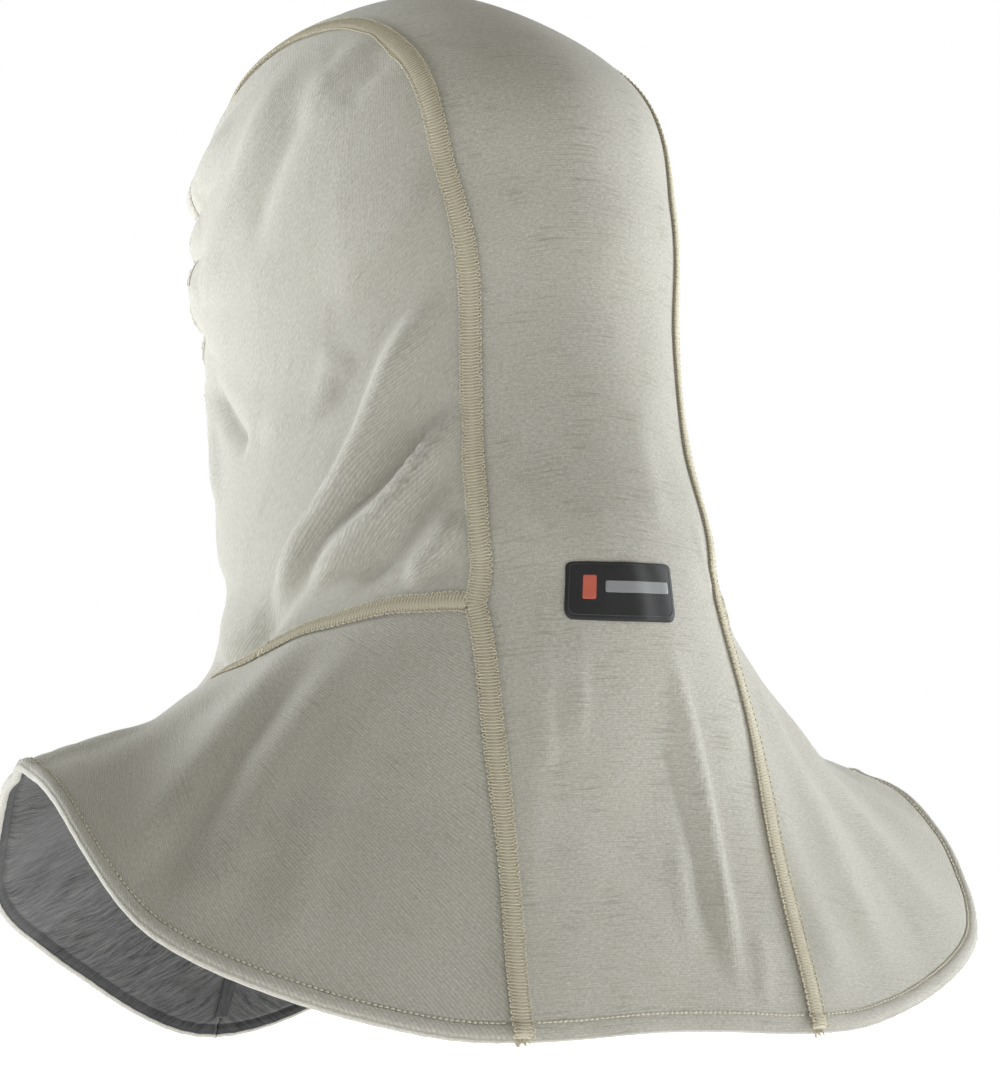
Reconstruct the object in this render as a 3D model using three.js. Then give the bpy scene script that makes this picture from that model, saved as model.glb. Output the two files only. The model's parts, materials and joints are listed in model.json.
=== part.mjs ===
// Knitted particulate-blocking hood (three layers, face opening, neck and shoulder bib).
// Millimetres, +Z up. The face opening looks along -Y and the wearer's left is +X.
// The origin is the inside of the crown, where the hood rests on the head.
import * as THREE from 'three';

// ---------------------------------------------------------------- driving dimensions
// Body form of the lining's inner face, from the crown down: a dome, a neck and a bib.
const DOME = { height: 96, half: 84, depth: 120, roundness: 2, depthRoundness: 2.3 };
// Dome rings: share of the dome's height, and centre along Y.
const DOME_RINGS = [
  { share: 1 / 8, centre: -8 },
  { share: 1 / 2, centre: 8 },
  { share: 1, centre: 10 },
];
// Neck rings are ovals: height, half width, centre along Y, half depth.
const NECK_RINGS = [
  { z: -144, half: 82, centre: 15, depth: 118 },
  { z: -190, half: 80, centre: 22, depth: 120 },
  { z: -228, half: 84, centre: 32, depth: 122 },
  { z: -258, half: 90, centre: 40, depth: 118 },
];
// Outlines of the left half of the bib's top and hem, every 30 degrees from back to front.
const SHOULDER_RING = [
  [0, 160, -345], [70, 150, -340], [135, 100, -320], [135, 35, -300],
  [110, -40, -325], [60, -100, -345], [0, -120, -350],
];
const HEM_RING = [
  [0, 180, -420], [105, 170, -420], [195, 125, -385], [205, 45, -325],
  [160, -75, -365], [85, -135, -405], [0, -160, -435],
];
const SECTORS = 12;

// Long seams: ring position (0 crown, 1 hem), angle from the back on the left and right.
const FOREHEAD_ANGLE = 48;
const LONG_SEAM_UPPER = [
  [0.16, 118, 118], [0.13, 75, 73], [0.18, 52, 49], [0.30, 40, 38], [0.42, 35, 34],
  [0.60, 39, 33], [0.78, 40, 32],
];
const LONG_SEAM_LOWER = [[0.78, 40, 32], [0.84, 32, 31], [0.91, 25, 25], [1, 20, 19]];
// Shoulder seam from the long seam round the neck to the throat.
const SHOULDER_SEAM = [
  [0.78, 54], [0.80, 72], [0.84, 92], [0.84, 120], [0.83, 150], [0.835, 180],
];
const THROAT = 0.835;
// Face opening: an oval between two ring positions, this many degrees to either side.
const FACE_TOP = 0.17;
const FACE_BOTTOM = 0.52;
const FACE_HALF_ANGLE = 46.5;

// Layers, as distances out from the lining's inner face.
const LINING = { low: 0, high: 1.0 };
const BARRIER = { low: 1.3, high: 1.7 };
const OUTER = { low: 2.0, high: 3.2 };
const OUTER_BAND = { low: 3.85, high: 4.5 };
const INNER_BAND = { low: -1.2, high: -0.45 };
const HEM_THREAD = { low: 4.0, high: 4.4 };
const PANEL_GAP = 0.25;
const LAYER_GAP = 0.5;

const BAND_HALF = 3.2;
const BAND_COLUMN = 3.7;
const BINDING_REACH = 7.5;
const BINDING_ROW = 8;
const HEM_FOLD = 9;
const HEM_STITCH = 7;
const CLEAR = 0.4;
const THROAT_CLEAR = 2.2;

// Grid divisions: across the strip, down to the shoulder, shoulder to hem, round the side.
const ACROSS_STRIP = 6;
const DOWN_HEAD = 11;
const DOWN_BIB = 7;
const ROUND_SIDE = 8;

const LABEL = { width: 47, height: 23, ring: 0.76, angle: 6, low: 4.0, high: 4.5 };
const CARE = { width: 32, height: 45, thick: 0.6, ring: 0.83, bar: 1.8 };

const OUTER_COLOUR = 0xcfcdc4;
const LINING_COLOUR = 0x6f6f71;
const BARRIER_COLOUR = 0xe8e8ea;
const THREAD_COLOUR = 0xd9d2b8;
const INNER_THREAD_COLOUR = 0xb9b7ae;
const ELASTIC_COLOUR = 0xf2f1ec;
const LABEL_COLOUR = 0x1d1e20;
const BAR_COLOUR = 0xb4b6b8;
const ACCENT_COLOUR = 0xd9604f;
const CARE_COLOUR = 0xf4f4f2;

// ---------------------------------------------------------------- body surface
const DEG = Math.PI / 180;

function ovalRing({ z, half, centre, depth }) {
  const points = [];
  for (let k = 0; k <= SECTORS / 2; k += 1) {
    const angle = k * 30 * DEG;
    points.push([half * Math.sin(angle), centre + depth * Math.cos(angle), z]);
  }
  return points;
}

function superellipse(share, power) {
  return (1 - (1 - share) ** power) ** (1 / power);
}

function domeRing({ share, centre }) {
  return ovalRing({
    z: -DOME.height * share,
    half: DOME.half * superellipse(share, DOME.roundness),
    centre,
    depth: DOME.depth * superellipse(share, DOME.depthRoundness),
  });
}

function wholeRing(half) {
  const ring = [];
  for (let k = 0; k < SECTORS; k += 1) {
    const mirrored = k > SECTORS / 2;
    const p = half[mirrored ? SECTORS - k : k];
    ring.push(new THREE.Vector3(mirrored ? -p[0] : p[0], p[1], p[2]));
  }
  return ring;
}

const CROWN = Array.from({ length: SECTORS / 2 + 1 }, () => [0, 0, 0]);
const HEAD = [...DOME_RINGS.map(domeRing), ...NECK_RINGS.map(ovalRing)];
const RINGS = [CROWN, ...HEAD, SHOULDER_RING, HEM_RING].map(wholeRing);
const LAST = RINGS.length - 1;

function spline(p0, p1, p2, p3, f) {
  const out = new THREE.Vector3();
  const f2 = f * f;
  const f3 = f2 * f;
  out.addScaledVector(p0, 0.5 * (-f + 2 * f2 - f3));
  out.addScaledVector(p1, 0.5 * (2 - 5 * f2 + 3 * f3));
  out.addScaledVector(p2, 0.5 * (f + 4 * f2 - 3 * f3));
  out.addScaledVector(p3, 0.5 * (-f2 + f3));
  return out;
}

function ringKnot(ring, sector) {
  if (ring < 0) return ringKnot(-ring, sector + SECTORS / 2);
  const s = ((sector % SECTORS) + SECTORS) % SECTORS;
  if (ring <= LAST) return RINGS[ring][s];
  return RINGS[LAST][s].clone().multiplyScalar(2).sub(RINGS[LAST - 1][s]);
}

// Plan coordinates: distance from the crown is the ring position, angle from the back.
function surface(plan) {
  const reach = Math.hypot(plan[0], plan[1]) * LAST;
  const turn = Math.atan2(plan[0], plan[1]) / (2 * Math.PI) * SECTORS;
  const sector = Math.floor(turn);
  const ring = Math.min(Math.floor(reach), LAST - 1);
  const rows = [-1, 0, 1, 2].map((r) => {
    const knots = [-1, 0, 1, 2].map((s) => ringKnot(ring + r, sector + s));
    return spline(knots[0], knots[1], knots[2], knots[3], turn - sector);
  });
  return spline(rows[0], rows[1], rows[2], rows[3], reach - ring);
}

function normal(plan) {
  const h = 0.002;
  const du = surface([plan[0] + h, plan[1]]).sub(surface([plan[0] - h, plan[1]]));
  const dv = surface([plan[0], plan[1] + h]).sub(surface([plan[0], plan[1] - h]));
  return du.cross(dv).normalize();
}

function offset(plan, distance) {
  return surface(plan).addScaledVector(normal(plan), distance);
}

// ---------------------------------------------------------------- curves in the plan
function polar(side, ring, angle) {
  return [side * ring * Math.sin(angle * DEG), ring * Math.cos(angle * DEG)];
}

function mix(a, b, f) {
  return [a[0] + (b[0] - a[0]) * f, a[1] + (b[1] - a[1]) * f];
}

function toward(from, to, mm) {
  return mix(from, to, mm / surface(from).distanceTo(surface(to)));
}

function smoothed(knots) {
  const v = knots.map((p) => new THREE.Vector3(p[0], p[1], 0));
  const line = [];
  for (let k = 0; k < v.length - 1; k += 1) {
    const before = k > 0 ? v[k - 1] : v[0].clone().multiplyScalar(2).sub(v[1]);
    const after = k < v.length - 2 ? v[k + 2] : v[k + 1].clone().multiplyScalar(2).sub(v[k]);
    for (let step = 0; step < 12; step += 1) {
      const p = spline(before, v[k], v[k + 1], after, step / 12);
      line.push([p.x, p.y]);
    }
  }
  line.push(knots[knots.length - 1]);
  return line;
}

function evenly(line, count) {
  const length = [0];
  for (let k = 1; k < line.length; k += 1) {
    length.push(length[k - 1] + surface(line[k]).distanceTo(surface(line[k - 1])));
  }
  const stations = [line[0]];
  let k = 1;
  for (let s = 1; s < count; s += 1) {
    const want = length[length.length - 1] * s / count;
    while (length[k] < want) k += 1;
    stations.push(mix(line[k - 1], line[k], (want - length[k - 1]) / (length[k] - length[k - 1])));
  }
  stations.push(line[line.length - 1]);
  return stations;
}

function faceEdge(side, degrees) {
  const middle = (FACE_TOP + FACE_BOTTOM) / 2;
  const half = (FACE_BOTTOM - FACE_TOP) / 2;
  const ring = middle - half * Math.cos(degrees * DEG);
  return polar(side, ring, 180 - FACE_HALF_ANGLE * Math.sin(degrees * DEG));
}

function arc(from, to, point) {
  const line = [];
  for (let k = 0; k <= 60; k += 1) line.push(point(from + (to - from) * k / 60));
  return line;
}

function seamKnots(side, table) {
  return table.map((row) => polar(side, row[0], side > 0 ? row[1] : row[2]));
}

function seamsOf(side) {
  const upper = [faceEdge(side, FOREHEAD_ANGLE), ...seamKnots(side, LONG_SEAM_UPPER)];
  const lower = seamKnots(side, LONG_SEAM_LOWER);
  const around = [lower[0], ...SHOULDER_SEAM.map((row) => polar(side, row[0], row[1]))];
  const hemAngle = LONG_SEAM_LOWER[LONG_SEAM_LOWER.length - 1][side > 0 ? 1 : 2];
  return {
    upper: evenly(smoothed(upper), DOWN_HEAD),
    lower: evenly(smoothed(lower), DOWN_BIB),
    shoulder: evenly(smoothed(around), ROUND_SIDE),
    face: evenly(arc(FOREHEAD_ANGLE, 180, (a) => faceEdge(side, a)), ROUND_SIDE),
    hem: evenly(arc(hemAngle, 180, (a) => polar(side, 1, a)), ROUND_SIDE),
    hemAngle,
  };
}

const SEAMS = { 1: seamsOf(1), '-1': seamsOf(-1) };
const CHIN = evenly(arc(FACE_BOTTOM, THROAT, (r) => [0, -r]), DOWN_HEAD);
const FRONT = evenly(arc(THROAT, 1, (r) => [0, -r]), DOWN_BIB);

// ---------------------------------------------------------------- panel grids
function patch(firstRow, lastRow, firstColumn, lastColumn) {
  const n = firstRow.length - 1;
  const m = firstColumn.length - 1;
  return firstColumn.map((start, j) => firstRow.map((top, i) => {
    const s = i / n;
    const t = j / m;
    const across = mix(start, lastColumn[j], s);
    const down = mix(top, lastRow[i], t);
    const corners = mix(mix(firstRow[0], firstRow[n], s), mix(lastRow[0], lastRow[n], s), t);
    return [across[0] + down[0] - corners[0], across[1] + down[1] - corners[1]];
  }));
}

function stripGrid() {
  const left = [...SEAMS[1].upper, ...SEAMS[1].lower.slice(1)];
  const right = [...SEAMS[-1].upper, ...SEAMS[-1].lower.slice(1)];
  const top = arc(-FOREHEAD_ANGLE, FOREHEAD_ANGLE, (a) => faceEdge(1, a));
  const hem = arc(-SEAMS[-1].hemAngle, SEAMS[1].hemAngle, (a) => polar(1, 1, a));
  return patch(evenly(top, ACROSS_STRIP), evenly(hem, ACROSS_STRIP), right, left);
}

// Two extra stations either side of the shoulder junction, so every layer bends alike there.
function withJunction(list) {
  const junction = list[DOWN_HEAD];
  return [
    ...list.slice(0, DOWN_HEAD),
    toward(junction, list[DOWN_HEAD - 1], BAND_COLUMN),
    junction,
    toward(junction, list[DOWN_HEAD + 1], BAND_COLUMN),
    ...list.slice(DOWN_HEAD + 1),
  ];
}

function turned(grid) {
  return grid[0].map((_, i) => grid.map((row) => row[i]));
}

const STRIP = turned(turned(stripGrid()).map(withJunction));
const SIDE = {};
const BIB = {};
for (const side of [1, -1]) {
  const seams = SEAMS[side];
  SIDE[side] = patch(seams.face, seams.shoulder, seams.upper, CHIN);
  BIB[side] = patch(seams.shoulder, seams.hem, seams.lower, FRONT);
}

function inset(list, starts, ends) {
  const n = list.length - 1;
  return [
    ...starts.map((mm) => toward(list[0], list[1], mm)),
    ...list.slice(1, -1),
    ...ends.map((mm) => toward(list[n], list[n - 1], mm)),
  ];
}

function insetGrid(grid, columnStarts, columnEnds, rowStarts, rowEnds) {
  const wide = grid.map((row) => inset(row, columnStarts, columnEnds));
  return turned(turned(wide).map((column) => inset(column, rowStarts, rowEnds)));
}

// ---------------------------------------------------------------- solids
const group = new THREE.Group();
group.name = 'smoke_hood';

function addMesh(name, points, faces, look) {
  let volume = 0;
  for (const [a, b, c] of faces) {
    volume += points[a].dot(points[b].clone().cross(points[c]));
  }
  const index = volume > 0 ? faces.flat() : faces.map(([a, b, c]) => [a, c, b]).flat();
  const geometry = new THREE.BufferGeometry();
  const flat = points.flatMap((p) => [p.x, p.y, p.z]);
  geometry.setAttribute('position', new THREE.Float32BufferAttribute(flat, 3));
  geometry.setIndex(index);
  geometry.computeVertexNormals();
  const material = new THREE.MeshStandardMaterial({
    color: look.colour,
    roughness: look.roughness,
    metalness: 0,
  });
  material.name = look.name;
  const mesh = new THREE.Mesh(geometry, material);
  mesh.name = name;
  group.add(mesh);
}

function quad(faces, a, b, c, d) {
  faces.push([a, b, c], [a, c, d]);
}

// A sheet between two grids of points, closed round its four edges. Rows from the fold on
// run back over earlier ones, so their quads are split along the other diagonal to match.
function addSheet(name, high, low, look, fold = Infinity) {
  const rows = high.length;
  const columns = high[0].length;
  const points = [...high.flat(), ...low.flat()];
  const half = rows * columns;
  const at = (j, i) => j * columns + i;
  const faces = [];
  for (let j = 0; j < rows - 1; j += 1) {
    for (let i = 0; i < columns - 1; i += 1) {
      const corners = [at(j, i), at(j, i + 1), at(j + 1, i + 1), at(j + 1, i)];
      if (j >= fold) corners.push(corners.shift());
      const [a, b, c, d] = corners;
      quad(faces, a, b, c, d);
      if (j >= fold) quad(faces, half + c, half + b, half + a, half + d);
      else quad(faces, half + a, half + d, half + c, half + b);
    }
  }
  for (let i = 0; i < columns - 1; i += 1) {
    const last = rows - 1;
    quad(faces, at(0, i + 1), at(0, i), half + at(0, i), half + at(0, i + 1));
    quad(faces, at(last, i), at(last, i + 1), half + at(last, i + 1), half + at(last, i));
  }
  for (let j = 0; j < rows - 1; j += 1) {
    const last = columns - 1;
    quad(faces, at(j, 0), at(j + 1, 0), half + at(j + 1, 0), half + at(j, 0));
    quad(faces, at(j + 1, last), at(j, last), half + at(j, last), half + at(j + 1, last));
  }
  addMesh(name, points, faces, look);
}

function lifted(grid, distance) {
  return grid.map((row) => row.map((p) => offset(p, distance)));
}

function addLayer(name, grid, layer, look) {
  addSheet(name, lifted(grid, layer.high), lifted(grid, layer.low), look);
}

// An outer panel whose last edge is turned in under the lining as the hem.
function addHemmedLayer(name, grid, hemTip, hemTipInner, look) {
  const n = grid.length - 1;
  const high = lifted(grid, OUTER.high);
  const low = lifted(grid, OUTER.low);
  const middle = (OUTER.low + INNER_BAND.high) / 2;
  high.push(hemTip.map((p) => offset(p, middle)));
  low.push(hemTipInner.map((p) => offset(p, middle)));
  for (const row of [grid[n], grid[n - 1]]) {
    high.push(row.map((p) => offset(p, INNER_BAND.low)));
    low.push(row.map((p) => offset(p, INNER_BAND.high)));
  }
  addSheet(name, high, low, look, n);
}

// A closed ring swept round a loop of stations, each an edge point and an inner point.
function addRing(name, loop, profile, look) {
  const points = [];
  for (const [edge, inner] of loop) {
    for (const [mm, lift] of profile) points.push(offset(toward(edge, inner, mm), lift));
  }
  const faces = [];
  const n = profile.length;
  for (let j = 0; j < loop.length; j += 1) {
    const next = (j + 1) % loop.length;
    for (let i = 0; i < n; i += 1) {
      const k = (i + 1) % n;
      quad(faces, j * n + i, j * n + k, next * n + k, next * n + i);
    }
  }
  addMesh(name, points, faces, look);
}

const outerLook = (name) => ({ name, colour: OUTER_COLOUR, roughness: 0.9 });
const liningLook = (name) => ({ name, colour: LINING_COLOUR, roughness: 0.95 });
const barrierLook = (name) => ({ name, colour: BARRIER_COLOUR, roughness: 0.7 });
const threadLook = (name) => ({ name, colour: THREAD_COLOUR, roughness: 0.75 });

// ---------------------------------------------------------------- knitted panels
const SEAM_EDGE = [PANEL_GAP, BAND_COLUMN];
const SEAM_EDGE_END = [BAND_COLUMN, PANEL_GAP];
const FACE_EDGE = [CLEAR, BINDING_ROW];
const SIDE_NAME = { 1: 'left', '-1': 'right' };

// The turned hem's tip, beyond the hem line on the outer and on the inner face.
function hemTips(grid) {
  const columns = turned(grid.map((row) => inset(row, SEAM_EDGE, SEAM_EDGE_END)));
  const beyond = (mm) => columns.map((c) => toward(c[c.length - 1], c[c.length - 2], -mm));
  return [beyond(1.4), beyond(0.4)];
}

function addPanels() {
  const strip = insetGrid(STRIP, SEAM_EDGE, SEAM_EDGE_END, FACE_EDGE, [HEM_FOLD, 0]);
  const [tip, tipInner] = hemTips(STRIP);
  addHemmedLayer('strip_outer', strip, tip, tipInner, outerLook('strip_outer_knit'));
  for (const side of [1, -1]) {
    const name = SIDE_NAME[side];
    const head = insetGrid(SIDE[side], SEAM_EDGE, SEAM_EDGE_END, FACE_EDGE, SEAM_EDGE_END);
    addLayer(`${name}_side_outer`, head, OUTER, outerLook(`${name}_side_outer_knit`));
    const bib = insetGrid(BIB[side], SEAM_EDGE, SEAM_EDGE_END, SEAM_EDGE, [HEM_FOLD, 0]);
    const [bibTip, bibTipInner] = hemTips(BIB[side]);
    addHemmedLayer(`${name}_bib_outer`, bib, bibTip, bibTipInner,
      outerLook(`${name}_bib_outer_knit`));
  }
}

function addInnerLayers(suffix, layer, look) {
  const edge = [LAYER_GAP, BAND_COLUMN];
  const edgeEnd = [BAND_COLUMN, LAYER_GAP];
  const hem = [HEM_FOLD, 1];
  const strip = insetGrid(STRIP, edge, edgeEnd, FACE_EDGE, hem);
  addLayer(`strip_${suffix}`, strip, layer, look(`strip_${suffix}_sheet`));
  for (const side of [1, -1]) {
    const name = SIDE_NAME[side];
    const head = insetGrid(SIDE[side], edge, edgeEnd, FACE_EDGE, edgeEnd);
    addLayer(`${name}_side_${suffix}`, head, layer, look(`${name}_side_${suffix}_sheet`));
    const bib = insetGrid(BIB[side], edge, edgeEnd, edge, hem);
    addLayer(`${name}_bib_${suffix}`, bib, layer, look(`${name}_bib_${suffix}_sheet`));
  }
}

// ---------------------------------------------------------------- seam bands
// A band over a seam: the seam's stations and the next stations on either side of it.
function addBand(name, seam, before, after, layer, starts, ends, look) {
  const lines = [
    seam.map((p, k) => toward(p, before[k], BAND_HALF)),
    seam,
    seam.map((p, k) => toward(p, after[k], BAND_HALF)),
  ];
  const grid = turned(lines.map((line) => inset(line, starts, ends)));
  addLayer(name, grid, layer, look);
}

const column = (grid, i) => grid.map((row) => row[i < 0 ? row.length + i : i]);

function addBands(suffix, layer, hemEnd, colour) {
  const look = (name) => ({ name, colour, roughness: 0.75 });
  for (const side of [1, -1]) {
    const name = SIDE_NAME[side];
    const seams = SEAMS[side];
    const seam = withJunction([...seams.upper, ...seams.lower.slice(1)]);
    const inStrip = column(STRIP, side > 0 ? -2 : 1);
    const sideways = [...column(SIDE[side], 1), ...column(BIB[side], 1).slice(1)];
    const inSide = withJunction(sideways);
    addBand(`${name}_long_seam${suffix}`, seam, inStrip, inSide, layer,
      [BINDING_ROW + CLEAR], [hemEnd], look(`${name}_long_seam${suffix}_thread`));
    const above = SIDE[side][DOWN_HEAD - 1];
    const below = BIB[side][1];
    addBand(`${name}_shoulder_seam${suffix}`, seams.shoulder, above, below, layer,
      [BAND_HALF + CLEAR], [BAND_COLUMN, 0.2], look(`${name}_shoulder_seam${suffix}_thread`));
  }
  addBand(`chin_seam${suffix}`, CHIN, column(SIDE[1], -2), column(SIDE[-1], -2), layer,
    [BINDING_ROW + CLEAR], [BAND_HALF + THROAT_CLEAR], look(`chin_seam${suffix}_thread`));
  addBand(`front_bib_seam${suffix}`, FRONT, column(BIB[1], -2), column(BIB[-1], -2), layer,
    [BAND_HALF + THROAT_CLEAR], [hemEnd], look(`front_bib_seam${suffix}_thread`));
}

// ---------------------------------------------------------------- face opening
function faceLoop() {
  const seat = [0, BAND_COLUMN];
  const seatEnd = [BAND_COLUMN, 0];
  const pairs = (grid) => [grid[0], grid[1]].map((row) => inset(row, seat, seatEnd));
  const [stripEdge, stripIn] = pairs(STRIP);
  const [leftEdge, leftIn] = pairs(SIDE[1]);
  const [rightEdge, rightIn] = pairs(SIDE[-1]);
  const edge = [...stripEdge, ...leftEdge.slice(1), ...rightEdge.reverse().slice(1, -1)];
  const inner = [...stripIn, ...leftIn.slice(1), ...rightIn.reverse().slice(1, -1)];
  return edge.map((p, k) => [p, inner[k]]);
}

function addFaceOpening() {
  const loop = faceLoop();
  const binding = [
    [BINDING_REACH, 4.7], [-2.5, 4.7], [-5, 3.1], [-5, 0.1], [-2.5, -1.4],
    [BINDING_REACH, -1.4], [BINDING_REACH, -0.6], [-2.2, -0.6], [-4, 0.5], [-4, 2.8],
    [-2.2, 3.9], [BINDING_REACH, 3.9],
  ];
  addRing('face_binding', loop, binding, outerLook('face_binding_knit'));
  const elastic = [[-0.6, 2.8], [-2.4, 2.8], [-3.3, 2.2], [-3.3, 1.0], [-2.4, 0.4], [-0.6, 0.4]];
  addRing('face_elastic', loop, elastic,
    { name: 'face_elastic_rubber', colour: ELASTIC_COLOUR, roughness: 0.6 });
  const stitch = [[6.2, 5.0], [5.0, 5.0], [5.0, 5.4], [6.2, 5.4]];
  addRing('face_binding_stitch', loop, stitch, threadLook('face_binding_stitch_thread'));
}

// ---------------------------------------------------------------- hem topstitch
function addHemRun(name, grid) {
  const wide = grid.map((row) => inset(row, [BAND_COLUMN + CLEAR], [BAND_COLUMN + CLEAR]));
  const n = wide.length - 1;
  const line = (mm) => wide[n].map((p, i) => toward(p, wide[n - 1][i], mm));
  addLayer(name, [line(HEM_STITCH - 0.6), line(HEM_STITCH + 0.6)], HEM_THREAD,
    threadLook(`${name}_thread`));
}

// ---------------------------------------------------------------- labels
// Sideways and downward directions at a plan point, and the plan steps of 1 mm along them.
function localAxes(plan) {
  const h = 0.002;
  const here = surface(plan);
  const du = surface([plan[0] + h, plan[1]]).sub(here).divideScalar(h);
  const dv = surface([plan[0], plan[1] + h]).sub(here).divideScalar(h);
  const out = normal(plan);
  const sideways = out.clone().cross(new THREE.Vector3(0, 0, 1)).normalize();
  const down = sideways.clone().cross(out).negate().normalize();
  const a = du.dot(du);
  const b = du.dot(dv);
  const c = dv.dot(dv);
  const solve = (want) => {
    const p = du.dot(want);
    const q = dv.dot(want);
    return [(p * c - q * b) / (a * c - b * b), (q * a - p * b) / (a * c - b * b)];
  };
  return { sideways, down, sidewaysStep: solve(sideways), downStep: solve(down) };
}

// The plan point this far sideways and down from a centre, found in a few steps.
function settle(centre, x, y, axes) {
  const start = surface(centre);
  let plan = centre;
  for (let step = 0; step < 4; step += 1) {
    const reached = surface(plan).sub(start);
    const dx = x - reached.dot(axes.sideways);
    const dy = y - reached.dot(axes.down);
    plan = [
      plan[0] + axes.sidewaysStep[0] * dx + axes.downStep[0] * dy,
      plan[1] + axes.sidewaysStep[1] * dx + axes.downStep[1] * dy,
    ];
  }
  return plan;
}

function addPlaque(name, centre, box, corner, layer, look) {
  const axes = localAxes(centre);
  const columns = 6;
  const rows = 3;
  const grid = [];
  for (let j = 0; j <= rows; j += 1) {
    const row = [];
    for (let i = 0; i <= columns; i += 1) {
      const atCorner = (i === 0 || i === columns) && (j === 0 || j === rows);
      const pull = atCorner ? corner : 0;
      const x = box.x + (i / columns - 0.5) * (box.width - 2 * pull);
      const y = box.y + (j / rows - 0.5) * (box.height - 2 * pull);
      row.push(settle(centre, x, y, axes));
    }
    grid.push(row);
  }
  addLayer(name, grid, layer, look);
}

function addBackLabel() {
  const centre = polar(1, LABEL.ring, LABEL.angle);
  const whole = { x: 0, y: 0, width: LABEL.width, height: LABEL.height };
  addPlaque('back_label', centre, whole, 0.8, LABEL,
    { name: 'back_label_film', colour: LABEL_COLOUR, roughness: 0.55 });
  const print = { low: LABEL.high + 0.3, high: LABEL.high + 0.5 };
  addPlaque('label_print_bar', centre, { x: 6, y: -1, width: 29, height: 5 }, 0, print,
    { name: 'label_print_bar_ink', colour: BAR_COLOUR, roughness: 0.5 });
  addPlaque('label_print_accent', centre, { x: -14.5, y: -1, width: 5, height: 10 }, 0, print,
    { name: 'label_print_accent_ink', colour: ACCENT_COLOUR, roughness: 0.5 });
}

function addCareLabel() {
  const centre = [0, CARE.ring];
  addPlaque('care_label_stitch', centre, { x: 0, y: 0, width: CARE.width, height: CARE.bar }, 0,
    { low: -2.2, high: INNER_BAND.high }, threadLook('care_label_stitch_thread'));
  const seat = offset(centre, -2.2);
  const flap = new THREE.BoxGeometry(CARE.width, CARE.thick, CARE.height);
  flap.translate(0, seat.y - 0.6, seat.z - CARE.bar / 2 - 0.6 - CARE.height / 2);
  const material = new THREE.MeshStandardMaterial({
    color: CARE_COLOUR,
    roughness: 0.6,
    metalness: 0,
  });
  material.name = 'care_label_tape';
  const mesh = new THREE.Mesh(flap, material);
  mesh.name = 'care_label';
  group.add(mesh);
}

// ---------------------------------------------------------------- assembly
addPanels();
addInnerLayers('barrier', BARRIER, barrierLook);
addInnerLayers('lining', LINING, liningLook);
addBands('', OUTER_BAND, 0.5, THREAD_COLOUR);
addBands('_inner', INNER_BAND, HEM_FOLD + CLEAR, INNER_THREAD_COLOUR);
addFaceOpening();
addHemRun('hem_stitch_back', STRIP);
addHemRun('hem_stitch_left', BIB[1]);
addHemRun('hem_stitch_right', BIB[-1]);
addBackLabel();
addCareLabel();

export default group;
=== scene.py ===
"""Knitted particulate-blocking hood, seen from behind and to its left.

The body form, seams and layers repeat the CAD model's own dimensions in millimetres.
Every shown piece is a new mesh built on that form and draped with folds. Most stand for
CAD nodes; the looped threads, the tufts and the label's rim are extra. Lengths are turned
into metres only when a mesh is made, and the studio is in metres throughout.
"""

import json
import math

import bmesh
import bpy
import numpy as np
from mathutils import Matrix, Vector

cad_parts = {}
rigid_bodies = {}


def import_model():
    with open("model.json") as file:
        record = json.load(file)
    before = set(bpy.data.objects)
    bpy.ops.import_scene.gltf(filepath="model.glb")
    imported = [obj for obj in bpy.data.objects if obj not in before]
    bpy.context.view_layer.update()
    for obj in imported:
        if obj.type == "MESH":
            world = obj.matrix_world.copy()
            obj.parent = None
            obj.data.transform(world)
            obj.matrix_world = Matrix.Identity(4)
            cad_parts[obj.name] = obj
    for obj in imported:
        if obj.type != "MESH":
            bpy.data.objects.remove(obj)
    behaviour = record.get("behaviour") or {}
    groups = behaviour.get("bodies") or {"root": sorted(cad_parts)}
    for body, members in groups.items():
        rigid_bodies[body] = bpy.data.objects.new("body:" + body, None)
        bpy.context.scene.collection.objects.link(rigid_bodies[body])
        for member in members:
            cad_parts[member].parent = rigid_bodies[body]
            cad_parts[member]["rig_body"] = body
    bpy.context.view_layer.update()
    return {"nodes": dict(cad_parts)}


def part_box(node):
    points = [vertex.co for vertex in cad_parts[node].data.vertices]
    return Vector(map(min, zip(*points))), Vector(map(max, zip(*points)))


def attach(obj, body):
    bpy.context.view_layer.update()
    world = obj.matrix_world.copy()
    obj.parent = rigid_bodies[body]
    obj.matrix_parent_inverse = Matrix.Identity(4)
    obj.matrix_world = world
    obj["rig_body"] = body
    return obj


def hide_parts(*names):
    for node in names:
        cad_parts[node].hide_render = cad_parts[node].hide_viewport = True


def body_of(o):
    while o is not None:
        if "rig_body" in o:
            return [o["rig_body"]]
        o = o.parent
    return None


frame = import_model()
MM = 0.001
RANDOM = np.random.default_rng(7)

# ---- body form, millimetres
# The dome of the head: height, half width and half depth, then its squareness across and
# in depth.
DOME_HEIGHT, DOME_HALF, DOME_DEPTH = 96, 84, 120
DOME_ROUNDNESS, DOME_DEPTH_ROUNDNESS = 2, 2.3
# Dome rings: share of the dome's height, centre along Y.
DOME_RINGS = [(1 / 8, -8), (1 / 2, 8), (1, 10)]
# Neck rings: height, half width, centre along Y, half depth.
NECK_RINGS = [(-144, 82, 15, 118), (-190, 80, 22, 120), (-228, 84, 32, 122), (-258, 90, 40, 118)]
# Outlines of the left half of the bib's top and hem, every 30 degrees from back to front.
SHOULDER_RING = [
    (0, 160, -345), (70, 150, -340), (135, 100, -320), (135, 35, -300),
    (110, -40, -325), (60, -100, -345), (0, -120, -350),
]
HEM_RING = [
    (0, 180, -420), (105, 170, -420), (195, 125, -385), (205, 45, -325),
    (160, -75, -365), (85, -135, -405), (0, -160, -435),
]
SECTORS = 12

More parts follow.
